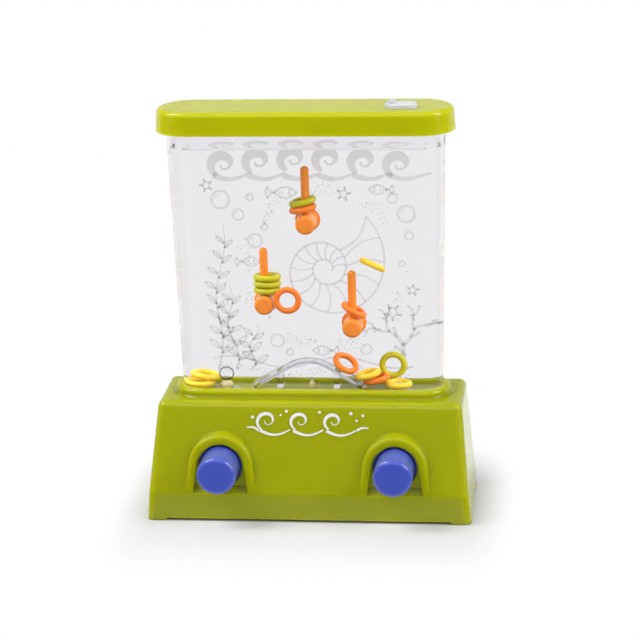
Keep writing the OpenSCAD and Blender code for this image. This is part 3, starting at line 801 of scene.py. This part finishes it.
@dataclass
class Pumps(Section):
    """The two hand pumps, from the buttons to the jets."""

    travel: float = 6.0
    """How far a button goes in."""
    nose: float = 4.7
    """Length of the bellows' nose in the button, which no fold shares."""

    def build(self) -> None:
        """Dresses both pumps and gives each bellows its own mesh."""
        for side, body in (("left", Body.BUTTON_LEFT), ("right", Body.BUTTON_RIGHT)):
            self.shop.dress(f"button_{side}", Palette.BLUE, body)
            bellows = self.shop.dress(f"bellows_{side}", Palette.BELLOWS)
            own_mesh(bellows)
            for part, finish in (("pump", Palette.WHITE), ("pump_seal", Palette.SEAL), ("nozzle", Palette.NOZZLE)):
                self.shop.dress(f"{part}_{side}", finish)


@dataclass
class Ring:
    """One loose ring."""

    name: str
    finish: MouldedPlastic
    centre: Place
    turn: Flat = (0, 0)
    """Its turns about X and then about Y, in degrees."""
    outer: float = 9.7
    tube: float = 2.13

    def mesh(self) -> Mesh:
        """Builds the ring.

        Returns:
            The ring's mesh, in its place.
        """
        made = bmesh.new()
        circle = bmesh.ops.create_circle(made, segments=20, radius=self.tube / 2,
                                         matrix=Matrix.Rotation(pi / 2, 4, "X"))["verts"]
        bmesh.ops.translate(made, verts=circle, vec=((self.outer - self.tube) / 2, 0, 0))
        bmesh.ops.spin(made, geom=made.edges[:] + made.verts[:], cent=(0, 0, 0), axis=(0, 0, 1),
                       angle=tau, steps=56, use_merge=True)
        bmesh.ops.remove_doubles(made, verts=made.verts, dist=1e-4)
        bmesh.ops.recalc_face_normals(made, faces=made.faces)
        turn = Matrix.Rotation(radians(self.turn[1]), 4, "Y") @ Matrix.Rotation(radians(self.turn[0]), 4, "X")
        bmesh.ops.transform(made, matrix=Matrix.Translation(self.centre) @ turn, verts=made.verts)
        return made


@dataclass
class Rings(Section):
    """The fifteen rings where they lie."""

    groups: tuple[tuple[Body, tuple[Ring, ...]], ...] = (
        (Body.RINGS_PEG_TOP, (
            Ring("peg_top_lower", Palette.RING_ORANGE, (-1.2, -1, 105.34), (0, -12)),
            Ring("peg_top_upper", Palette.RING_LIME, (-1.2, -1, 107.79), (0, -14)))),
        (Body.RINGS_PEG_LEFT, (
            Ring("peg_left_lower", Palette.RING_LIME, (-14.25, -1, 76.5)),
            Ring("peg_left_middle", Palette.RING_LIME, (-14.25, -1, 78.8)),
            Ring("peg_left_upper", Palette.RING_LIME, (-14.25, -1, 81.1)))),
        (Body.RINGS_PEG_RIGHT, (Ring("peg_right", Palette.RING_ORANGE, (15.3, -1, 69.38), (0, 29)),)),
        (Body.RINGS_LOOSE, (Ring("loose", Palette.RING_ORANGE, (-7.1, -5.4, 73.63), (90, 0)),)),
        (Body.RINGS_DRIFTING, (Ring("drifting", Palette.RING_YELLOW, (22, -1, 85.5), (-12.7, 25)),)),
        (Body.RINGS_FLOOR_LEFT, (
            Ring("floor_left_low", Palette.RING_YELLOW, (-38.8, -0.6, 42.45)),
            Ring("floor_left_top", Palette.RING_YELLOW, (-36.9, 0.9, 44.9), (0, 8)))),
        (Body.RINGS_FLOOR_RIGHT, (
            Ring("floor_right_low", Palette.RING_YELLOW, (30, -0.1, 42.45)),
            Ring("floor_right_middle", Palette.RING_ORANGE, (22.4, -0.4, 44.25), (0, -14)),
            Ring("floor_right_top", Palette.RING_YELLOW, (19.5, -0.7, 46.05), (0, -14)),
            Ring("floor_right_leaning", Palette.RING_ORANGE, (12, -1, 50.05), (24, 32)),
            Ring("floor_right_standing", Palette.RING_LIME, (28, 4.6, 48.2), (90, 0)))),
    )

    def build(self) -> None:
        """Builds every ring."""
        for body, rings in self.groups:
            for ring in rings:
                node, slot = f"ring_{ring.name}", ring.finish.name.removesuffix("_plastic")
                self.shop.piece(f"{node}_shown", ring.mesh(), ring.finish, body, (node,), slot)


@dataclass
class GuideEdgeShade:
    """Dark-tinted beads along the edges of the clear arch on the tank's floor: painted shade that draws the dark lines
    along the arch's edges.
    """

    floor_z: float
    middle: float = -1.0
    foot: float = 18.7
    """Half of the arch's length on the floor."""
    height: float = 8.8
    bend: float = 12.6
    """Radius of the arch's bend."""
    thick: float = 1.1
    straight: float = 3.6
    """Half of the length over which its edges run parallel."""
    peak_width: float = 5.2
    foot_width: float = 10.0
    bead: float = 0.2
    """Radius of a bead."""
    short: float = 2.4
    """How far a bead ends before the arch's tip."""

    def ramp(self, mesh: Mesh, tip: list[Face], length: float, rise: float) -> list[Face]:
        """Draws the bead out in a straight line.

        Args:
            mesh: The bead.
            tip: The face at its tip.
            length: How far it goes.
            rise: The way's angle upwards, in radians.

        Returns:
            The face at its new tip.
        """
        moved = bmesh.ops.extrude_face_region(mesh, geom=tip)["geom"]
        bmesh.ops.delete(mesh, geom=tip, context="FACES_ONLY")
        bmesh.ops.translate(mesh, verts=only(Vert, moved),
                            vec=(length * cos(rise), 0, length * sin(rise)))
        return only(Face, moved)

    def edge(self, side: int) -> Mesh:
        """Sweeps a bead along one edge of the arch: up a ramp, round the bend and down again.

        Args:
            side: -1 for the front edge, 1 for the back one.

        Returns:
            The bead's mesh.
        """
        centre = self.height - self.bend
        lean = pi / 2 - atan2(-centre, self.foot) - acos(self.bend / hypot(self.foot, centre))
        radius = self.bend + self.thick / 2
        length = (self.foot + self.thick - self.short - radius * sin(lean)) / cos(lean)
        low = Vector((-radius * sin(lean) - length * cos(lean), 0,
                      centre + radius * cos(lean) - length * sin(lean)))
        made = bmesh.new()
        bmesh.ops.create_circle(made, cap_ends=True, segments=10, radius=self.bead,
                                matrix=Matrix.Translation(low) @ Matrix.Rotation(pi / 2 - lean, 4, "Y"))
        tip = self.ramp(made, made.faces[:], length, lean)
        bent = bmesh.ops.spin(made, geom=tip, cent=(0, 0, centre), axis=(0, 1, 0), angle=2 * lean,
                              steps=14)["geom_last"]
        self.ramp(made, only(Face, bent), length, -lean)
        bmesh.ops.subdivide_edges(made, edges=[edge for edge in made.edges if edge.calc_length() > length / 2], cuts=6)
        for vert in made.verts:
            share = max(0.0, (abs(vert.co.x) - self.straight) / (self.foot + self.thick - self.straight))
            half = (self.peak_width + (self.foot_width - self.peak_width) * share) / 2
            vert.co.y += side * (half - self.bead / 2)
        bmesh.ops.translate(made, verts=made.verts, vec=(self.middle, 0, self.floor_z))
        bmesh.ops.recalc_face_normals(made, faces=made.faces)
        return made


@dataclass
class Tank(Section):
    """The clear tank with its water, pegs, guide and print."""

    length: float = 94.6
    depth: float = 19.0
    lid_z: float = 132.25
    floor_z: float = 41.3
    deck_z: float = 38.3
    water_z: float = 126.3
    taper: float = 1.214
    """The walls' draft, in degrees."""
    wall: float = 1.4
    overlap: float = 0.04
    """How far the water reaches into the wall and the floor."""
    levels: tuple[float, ...] = (60, 80, 100, 120)
    """Heights of the water's outlines between the floor and the surface."""
    shore: tuple[float, ...] = (0.12, 0.3, 0.6, 1.0, 1.5, 2.1, 2.8, 3.6, 4.5)
    """Distances from the wall at which the climbing water has an outline."""
    climb: float = 0.45
    """How far the water climbs at the wall."""
    fall_off: float = 2.0
    """Distance from the wall over which the climb drops to about a third."""
    swell: float = 0.1
    """Height of the waves on the water."""
    cell: float = 0.9
    """Side of the cells that carry the waves."""
    calm_rim: float = 1.5
    """Width of the rim over which the waves die out."""
    calm_end: float = 41.0
    """How far from the middle the surface still bends light."""
    pip: Place = (1.3, 1.3, 2.6)
    """Radii of the pip on the floor."""
    gate_share: float = 0.8
    """Size, within the pip, of the milky mark where the plastic was filled in."""
    bubble_height: float = 0.93
    """A bubble's height as a share of its width."""
    bubbles: tuple[tuple[str, Place, float], ...] = (
        ("left", (-29.7, -1.5, 46.1), 2.6),
        ("top", (-44.8, -1.0, 125.0), 0.7),
    )
    """Name, centre and radius of each air bubble."""

    def outer(self, z: float) -> float:
        """Returns the tank's outer half depth at a height, both in millimetres."""
        return self.depth / 2 - (self.lid_z - z) * tan(radians(self.taper))

    @property
    def span(self) -> float:
        """Distance of the half-round ends' centres from the middle."""
        return (self.length - self.depth) / 2

    def water(self) -> Mesh:
        """Builds the water, whose sides lie just inside the tank's wall and whose top is wavy.

        Returns:
            The water's mesh.
        """
        inset, low = self.wall - self.overlap, self.floor_z - self.overlap
        body = PillLoft(self.span, self.outer(low) - inset, low)
        for z in (low + 1, *self.levels, self.water_z - 0.8, self.water_z, self.water_z + self.climb):
            body.grow(self.outer(z) - inset, z)
        edge = self.outer(self.water_z) - self.wall
        for inward in self.shore:
            body.grow(edge - inward, self.water_z + self.climb * exp(-inward / self.fall_off))
        flat = body.radius
        for vert in body.close(self.cell):
            end = max(0.0, abs(vert.co.x) - self.span)
            calm = min(1.0, max(0.0, (flat - hypot(end, vert.co.y)) / self.calm_rim))
            vert.co.z += calm * self.swell * noise.noise(Vector((vert.co.x * 0.16, vert.co.y * 0.3, 2.7)))
        bmesh.ops.recalc_face_normals(body.mesh, faces=body.mesh.faces)
        return body.mesh

    def ball(self, centre: Place, size: Place, finer: int) -> Mesh:
        """Builds a rounded blob.

        Args:
            centre: Its centre.
            size: Its radii.
            finer: How often its faces are split.

        Returns:
            The blob's mesh.
        """
        made = bmesh.new()
        bmesh.ops.create_icosphere(made, subdivisions=finer, radius=1.0)
        bmesh.ops.scale(made, vec=size, verts=made.verts)
        bmesh.ops.translate(made, vec=centre, verts=made.verts)
        return made

    def edge_of_water(self, face: Face) -> bool:
        """Tells whether a face of the water, in metres, lies against the tank or at the surface's far ends."""
        return face.normal.z < 0.5 or abs(face.calc_center_median().x) > self.calm_end * MM

    def shift(self, mesh: Mesh, below: float, off: float) -> None:
        """Moves the points of a mesh, in metres, that lie below a height up by a distance."""
        low = [vert for vert in mesh.verts if vert.co.z < (below + 0.01) * MM]
        bmesh.ops.translate(mesh, verts=low, vec=(0, 0, off * MM))

    def seat(self, mesh: Mesh) -> None:
        """Presses the tank's underside a hair into the deck and cuts its walls at the water's edge."""
        self.shift(mesh, self.deck_z, -0.05)
        bmesh.ops.bisect_plane(mesh, geom=mesh.verts[:] + mesh.edges[:] + mesh.faces[:], dist=1e-7,
                               plane_co=(0, 0, (self.water_z + self.climb) * MM), plane_no=(0, 0, 1))

    def lift(self, mesh: Mesh) -> None:
        """Lifts the guide's feet a hair off the floor."""
        self.shift(mesh, self.floor_z, 0.04)

    def wet(self, face: Face) -> bool:
        """Tells whether a face of the tank touches the water.

        Args:
            face: The face, in metres.

        Returns:
            Whether it lies inside the walls and under the water's edge.
        """
        x, y, z = (face.calc_center_median() - Vector((0, TANK_Y, 0))) / MM
        aside = hypot(max(0.0, abs(x) - self.span), y)
        return self.floor_z - 0.5 < z < self.water_z + self.climb and aside < self.outer(z) - self.wall / 2

    def build(self) -> None:
        """Builds and dresses the tank and what is in it."""
        shop = self.shop
        shop.dress("tank", Palette.TANK, adjust=self.seat, lining=(Palette.TANK_WET, self.wet))
        shop.dress("ring_guide", Palette.GUIDE, adjust=self.lift)
        # Dark beads along the arch's edges, as painted shade.
        for name, side in (("front", -1), ("back", 1)):
            shop.piece(f"guide_edge_{name}", GuideEdgeShade(self.floor_z).edge(side), Palette.GUIDE_EDGE)
        for name in ("top", "left", "right"):
            shop.dress(f"peg_{name}", Palette.PEG)
        shop.piece("water_shown", self.water(), Palette.WATER, replaces=("water",), slot="water",
                   lining=(Palette.WATER_SIDE, self.edge_of_water))
        mark = tuple(radius * self.gate_share for radius in self.pip)
        shop.piece("gate_mark", self.ball((0, 0, self.floor_z), mark, 3), Palette.NOZZLE)
        for name, centre, radius in self.bubbles:
            bubble = self.ball(centre, (radius, radius, radius * self.bubble_height), 4)
            shop.piece(f"bubble_{name}", bubble, Palette.BUBBLE, slot="water")
        reef = Reef(self)
        shop.piece("back_print", reef.lines(), Palette.PRINT_GREY)
        shop.piece("back_waves", reef.waves(), Palette.PRINT_PALE)


@dataclass
class Reef:
    """The pale reef printed on the tank's back: a shell, weed, coral, fish, starfish, waves, bubbles and dots."""

    tank: Tank
    art: Drawing = field(default_factory=lambda: Drawing(0.7))
    shell_middle: Flat = (5.0, 82.0)
    shell_r: float = 23.5
    shell_start: float = 2.4
    """The spiral's radius at its start."""
    shell_turns: float = 2.2
    chambers: int = 17
    print_thick: float = 0.03

    def whorl(self, turn: float) -> Vector:
        """Returns the point of the shell's spiral after a number of turns."""
        rate = log(self.shell_r / self.shell_start) / self.shell_turns
        return Vector(spot(self.shell_middle, self.shell_start * exp(rate * turn),
                           radians(-20) + tau * turn))

    def shell(self) -> None:
        """Draws a spiral shell with its chambers."""
        self.art.stroke(lambda share: self.whorl(self.shell_turns * share), 120, 0.75)
        for i in range(self.chambers):
            turn = self.shell_turns - 0.06 - i / self.chambers * 1.12
            inner, outer = self.whorl(turn - 1), self.whorl(turn)
            self.art.bow(inner.to_tuple(), outer.to_tuple(), 1.1 * (outer - inner).length / 9, 0.6)
        end, back = self.whorl(self.shell_turns), self.whorl(self.shell_turns - 1)
        self.art.bow(back.to_tuple(), end.to_tuple(), -2.2, 0.75)

    def weed(self, x: float, low: float, high: float, lean: float, leaves: int) -> None:
        """Draws a strand of weed.

        Args:
            x: Place of its foot.
            low: Height of its foot.
            high: Height of its tip.
            lean: How far its tip stands to the right.
            leaves: How many pairs of leaves it has.
        """
        def stem(share: float) -> Vector:
            """Winds slightly on its way up."""
            return Vector((x + lean * share + 1.3 * sin(share * 9), low + (high - low) * share))
        self.art.stroke(stem, 40, 0.7, lambda share: 1.3 - 0.7 * share)
        for i in range(leaves):
            share = 0.12 + 0.82 * i / leaves
            point = stem(share)
            size = 6.4 - 2.6 * share
            self.art.leaf((point.x, point.y), size, size * 0.3, 38 + 9 * sin(i * 2.1))
            self.art.leaf((point.x, point.y + 1.6), size * 0.9, size * 0.28, 142 + 8 * sin(i * 1.7))

    def coral(self, place: Flat, length: float, turn: float, width: float, left: int) -> None:
        """Draws a branch of coral and the branches that leave it.

        Args:
            place: Its foot.
            length: Its length.
            turn: Its angle from the right, in degrees.
            width: Its width.
            left: How many more times it branches.
        """
        tip = spot(place, length, radians(turn))
        self.art.bow(place, tip, 0.5 if left % 2 else -0.5, width, lambda share: 1 - 0.25 * share)
        self.art.dot(tip, width * 0.42)
        if left:
            for side, share in ((1, 0.98), (-1, 0.97), (1 if left % 2 else -1, 0.55)):
                self.coral(between(place, tip, share), length * (0.74 if share > 0.9 else 0.5),
                           turn + side * (24 + 5 * left), width * 0.78, left - 1 if share > 0.9 else 0)

    def bed(self, x: float) -> float:
        """Returns how far the sea bed rises over its middle level at a place along the tank."""
        return 2.0 * sin(x * 0.16)

    def stipple(self) -> None:
        """Draws fields of fine dots round the shell and on the sea bed."""
        pick = random.Random(11)
        for _ in range(900):
            angle, off = pick.uniform(0, tau), pick.random()
            reach = self.shell_r + 2.2 + 5.5 * off * (0.55 + 0.45 * sin(angle * 9 + 0.6))
            if sin(angle * 9) > -0.35 and not -0.5 < sin(angle / 2 - 0.2) < 0.1:
                self.art.dot(spot(self.shell_middle, reach, angle), 0.22)
        for _ in range(240):
            along = pick.uniform(-34, 34)
            self.art.dot((along, 46.2 + self.bed(along) - pick.random() * 2.6), 0.22)

    def fish(self, place: Flat, length: float, facing: int) -> None:
        """Draws a small plain fish.

        Args:
            place: Its middle.
            length: Its length.
            facing: 1 to the right, -1 to the left.
        """
        x, z = place
        ahead = facing * length
        nose, root, tail = x + ahead * 0.5, x - ahead * 0.28, x - ahead * 0.5
        for bend in (-1, 1):
            self.art.bow((nose, z), (root, z), bend * length * 0.2)
            self.art.bow((root, z), (tail, z + bend * length * 0.2), bend * ahead * 0.05)
        marks = [(tail, 0.2, 0.08, 0.0), (nose - ahead * 0.22, 0.12, 0.05, 0.0)]
        marks += [(root + ahead * (0.06 + 0.12 * i), 0.06, 0.04, 0.35) for i in range(3)]
        for across, half, bend, width in marks:
            self.art.bow((across, z - length * half), (across, z + length * half), ahead * bend, width)

    def star(self, place: Flat, size: float, turn: float) -> None:
        """Draws a small starfish with dots on its arms.

        Args:
            place: Its middle.
            size: Length of an arm.
            turn: The first arm's angle from the right, in degrees.
        """
        corners = [spot(place, size * (0.42 if step % 2 else 1.0), radians(turn + 36 * step))
                   for step in range(11)]
        for step, (start, end) in enumerate(zip(corners, corners[1:])):
            self.art.bow(start, end, 0.08 * size)
            if step % 2 == 0:
                self.art.dot(between(place, start, 0.5), 0.25)

    def lay(self, point: Vector) -> Vector:
        """Lays a point of a drawing on the tank's back."""
        return Vector((point.x, self.tank.outer(point.z) + 0.02 + point.y, point.z))

    def waves(self) -> Mesh:
        """Draws the row of rolling waves along the top.

        Returns:
            The waves' mesh.
        """
        art = Drawing(0.5)
        for x in (-29, -17, -5, 7, 19, 31):
            art.curl((x, 119.4 + 1.2 * cos(x * 0.07)), 4.3, 3.4)
            art.bow((x - 3.8, 115.2), (x + 8.4, 115.6), -1.7, 2.2, lambda share: 1 - 0.6 * share)
        return art.finish(self.print_thick, self.lay)

    def lines(self) -> Mesh:
        """Draws the reef in lines and dots.

        Returns:
            The lines' mesh.
        """
        self.shell()
        for strand in ((-33.5, 45, 98, 3.0, 8), (-27.2, 45, 76, -2.0, 5), (-22.0, 45, 62, 2.0, 3)):
            self.weed(*strand)
        self.coral((32.5, 45.5), 9.5, 96, 1.9, 3)
        self.stipple()
        self.art.stroke(lambda share: Vector((-35 + 70 * share, 48.2 + self.bed(-35 + 70 * share))), 60)
        for x, z, length, facing in ((-9, 109, 10, 1), (24.5, 110, 8, -1), (-21.5, 84.5, 8, 1), (4, 52.5, 8.5, -1)):
            self.fish((x, z), length, facing)
        for x, z, size, turn in ((-15.5, 71.0, 3.6, 20), (28.0, 66.5, 3.2, 50), (12.0, 108.5, 2.6, 5),
                                 (-35.2, 111.5, 2.4, 35), (35.0, 74.5, 2.2, 10)):
            self.star((x, z), size, turn)
        for x, z, radius in ((-30.5, 106.5, 3.1), (-24.5, 101.2, 1.9), (-20.4, 107.4, 1.2), (33.2, 101.5, 2.9),
                             (28.6, 107.0, 1.7), (34.0, 93.8, 1.4), (-12.5, 56.0, 2.3), (-8.2, 51.8, 1.2),
                             (18.6, 53.0, 1.8), (-19.0, 92.0, 2.4), (-15.6, 96.8, 1.1), (31.5, 84.0, 1.0)):
            self.art.ring((x, z), radius, 0.9 if radius > 2.5 else 0.0)
            self.art.bow((x - radius * 0.55, z + radius * 0.1), (x - radius * 0.1, z + radius * 0.55), 0.18 * radius,
                         0.35)
        return self.art.finish(self.print_thick, self.lay)


@dataclass
class Lid(Section):
    """The lime lid with its gasket and plug."""

    def build(self) -> None:
        """Dresses the lid."""
        # Painted light: the lid wears the lighter copy of the base's lime.
        self.shop.dress("tank_lid", Palette.LIME_LID_PAINTED_LIGHTER, sharp=30)
        self.shop.dress("lid_gasket", Palette.SEAL)
        self.shop.dress("fill_plug", Palette.PLUG, Body.FILL_PLUG)


@dataclass(frozen=True)
class Lamp:
    """A soft rectangular lamp, in metres and watts."""

    name: str
    place: Place
    size: Flat
    watts: float
    aim: Place = (0, 0, 0.07)

    def hang(self) -> None:
        """Puts the lamp into the scene."""
        data = bpy.data.lights.new(self.name, "AREA")
        data.shape = "RECTANGLE"
        data.size, data.size_y = self.size
        data.energy = self.watts
        turn = (Vector(self.place) - Vector(self.aim)).to_track_quat("Z", "Y").to_matrix().to_4x4()
        add_object(self.name, data).matrix_world = Matrix.Translation(self.place) @ turn


@dataclass
class Studio:
    """The pale floor, the white surroundings, the lamps and the camera."""

    lens: float = 130.43
    sensor: float = 36.0
    camera_place: Place = (0.09545, -0.74529, 0.30872)
    camera_right: Place = (0.9933, 0.1120, -0.0293)
    camera_up: Place = (-0.0065, 0.3069, 0.9517)
    fill: float = 0.34
    """Strength of the even light from all around."""
    dark: float = 0.08
    """Brightness of the room behind the camera, as mirrored."""
    paper: Colour = (0.7, 0.7, 0.71)
    floor_radius: float = 4.0
    footprint: Place = (0.053, 0.021, 1.0)
    """Half of the floor area under the game."""
    fade: Place = (0.018, 0.044, 1.0)
    """How far beside and before it the floor's paper turns white."""
    lamps: tuple[Lamp, ...] = (
        Lamp("overhead", (0, -0.1, 0.95), (0.9, 0.7), 0.6),
        Lamp("front", (-0.1, -0.6, 0.66), (0.8, 0.36), 1.4, (0, 0, 0.1)),
        Lamp("upper_left", (-0.52, -0.1, 0.72), (0.3, 0.5), 4.4),
        Lamp("upper_right", (0.66, -0.18, 0.5), (0.28, 0.5), 3.4),
        Lamp("left", (-0.75, -0.3, 0.3), (0.4, 0.5), 0.3, (0, 0, 0.1)),
        Lamp("right", (0.75, -0.25, 0.3), (0.4, 0.5), 0.3, (0, 0, 0.1)),
    )

    def camera(self) -> None:
        """Places the camera at the photograph's viewpoint."""
        data = bpy.data.cameras.new("camera")
        data.lens, data.sensor_width, data.clip_start = self.lens, self.sensor, 0.01
        right, up = Vector(self.camera_right).normalized(), Vector(self.camera_up).normalized()
        back = right.cross(up).normalized()
        turn = Matrix((right, back.cross(right), back)).transposed()
        made = add_object("camera", data)
        made.matrix_world = Matrix.Translation(self.camera_place) @ turn.to_4x4()
        bpy.context.scene.camera = made

    def surroundings(self) -> None:
        """Makes the world white to look at, soft where it lights, and dark in front where it is mirrored."""
        world = bpy.data.worlds.new("surroundings")
        bpy.context.scene.world = world
        graph = Graph(world, "OutputWorld")
        axes = graph.node("SeparateXYZ", {0: graph.node("TexCoord").outputs["Generated"]}).outputs
        behind = graph.slope(axes["Z"], -0.35, 0.0, 1.1, 0.66)
        mirrored = graph.blend(graph.slope(axes["Y"], 0.1, 0.5), self.dark, behind)
        mirrored = graph.blend(graph.slope(axes["Z"], 0.22, 0.5), mirrored, 0.25)
        through = graph.slope(axes["Y"], -0.8, -0.4, 0.6, 0.9)
        strength = self.fill
        for kind, seen in (("Glossy", mirrored), ("Transmission", through), ("Camera", 1.0)):
            strength = graph.blend(graph.ray(kind), strength, seen)
        graph.finish(graph.node("Background", {"Color": (1, 1, 1, 1), "Strength": strength}))

    def floor(self) -> None:
        """Lays a pale floor that fades into the white surroundings."""
        mesh = bmesh.new()
        bmesh.ops.create_circle(mesh, cap_ends=True, segments=96, radius=self.floor_radius)
        made = add_mesh("floor", mesh)
        material = bpy.data.materials.new("studio_floor")
        graph = Graph(material)
        reach = graph.object_space()
        for operation, value in (("ABSOLUTE", None), ("SUBTRACT", self.footprint), ("MAXIMUM", (0, 0, 0)),
                                 ("DIVIDE", self.fade)):
            inputs = {0: reach, 1: value} if value else {0: reach}
            reach = graph.node("VectorMath", inputs, operation=operation).outputs["Vector"]
        reach = graph.node("VectorMath", {0: reach}, operation="LENGTH").outputs["Value"]
        seen = graph.combine("MAXIMUM", graph.ray("Camera"), graph.ray("Glossy"))
        seen = graph.combine("MAXIMUM", seen, graph.ray("Transmission"))
        share = graph.combine("MULTIPLY", graph.slope(reach, 0.0, 1.0), seen)
        paper = graph.node("BsdfDiffuse", {"Color": (*self.paper, 1)})
        graph.finish(graph.mix(share, paper, graph.node("BsdfTransparent")))
        made.data.materials.append(material)

    def build(self) -> None:
        """Sets up the whole studio."""
        self.camera()
        self.surroundings()
        self.floor()
        for lamp in self.lamps:
            lamp.hang()
        bpy.context.scene.view_settings.view_transform = "Standard"


def main() -> None:
    """Builds the game and its studio."""
    logging.basicConfig(level=logging.INFO, format="%(name)s: %(message)s")
    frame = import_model()
    Studio().build()
    shop = Workshop(frame)
    for section in (Base, Pumps, Tank, Rings, Lid):
        section(shop).build()


if __name__ == "__main__":
    main()
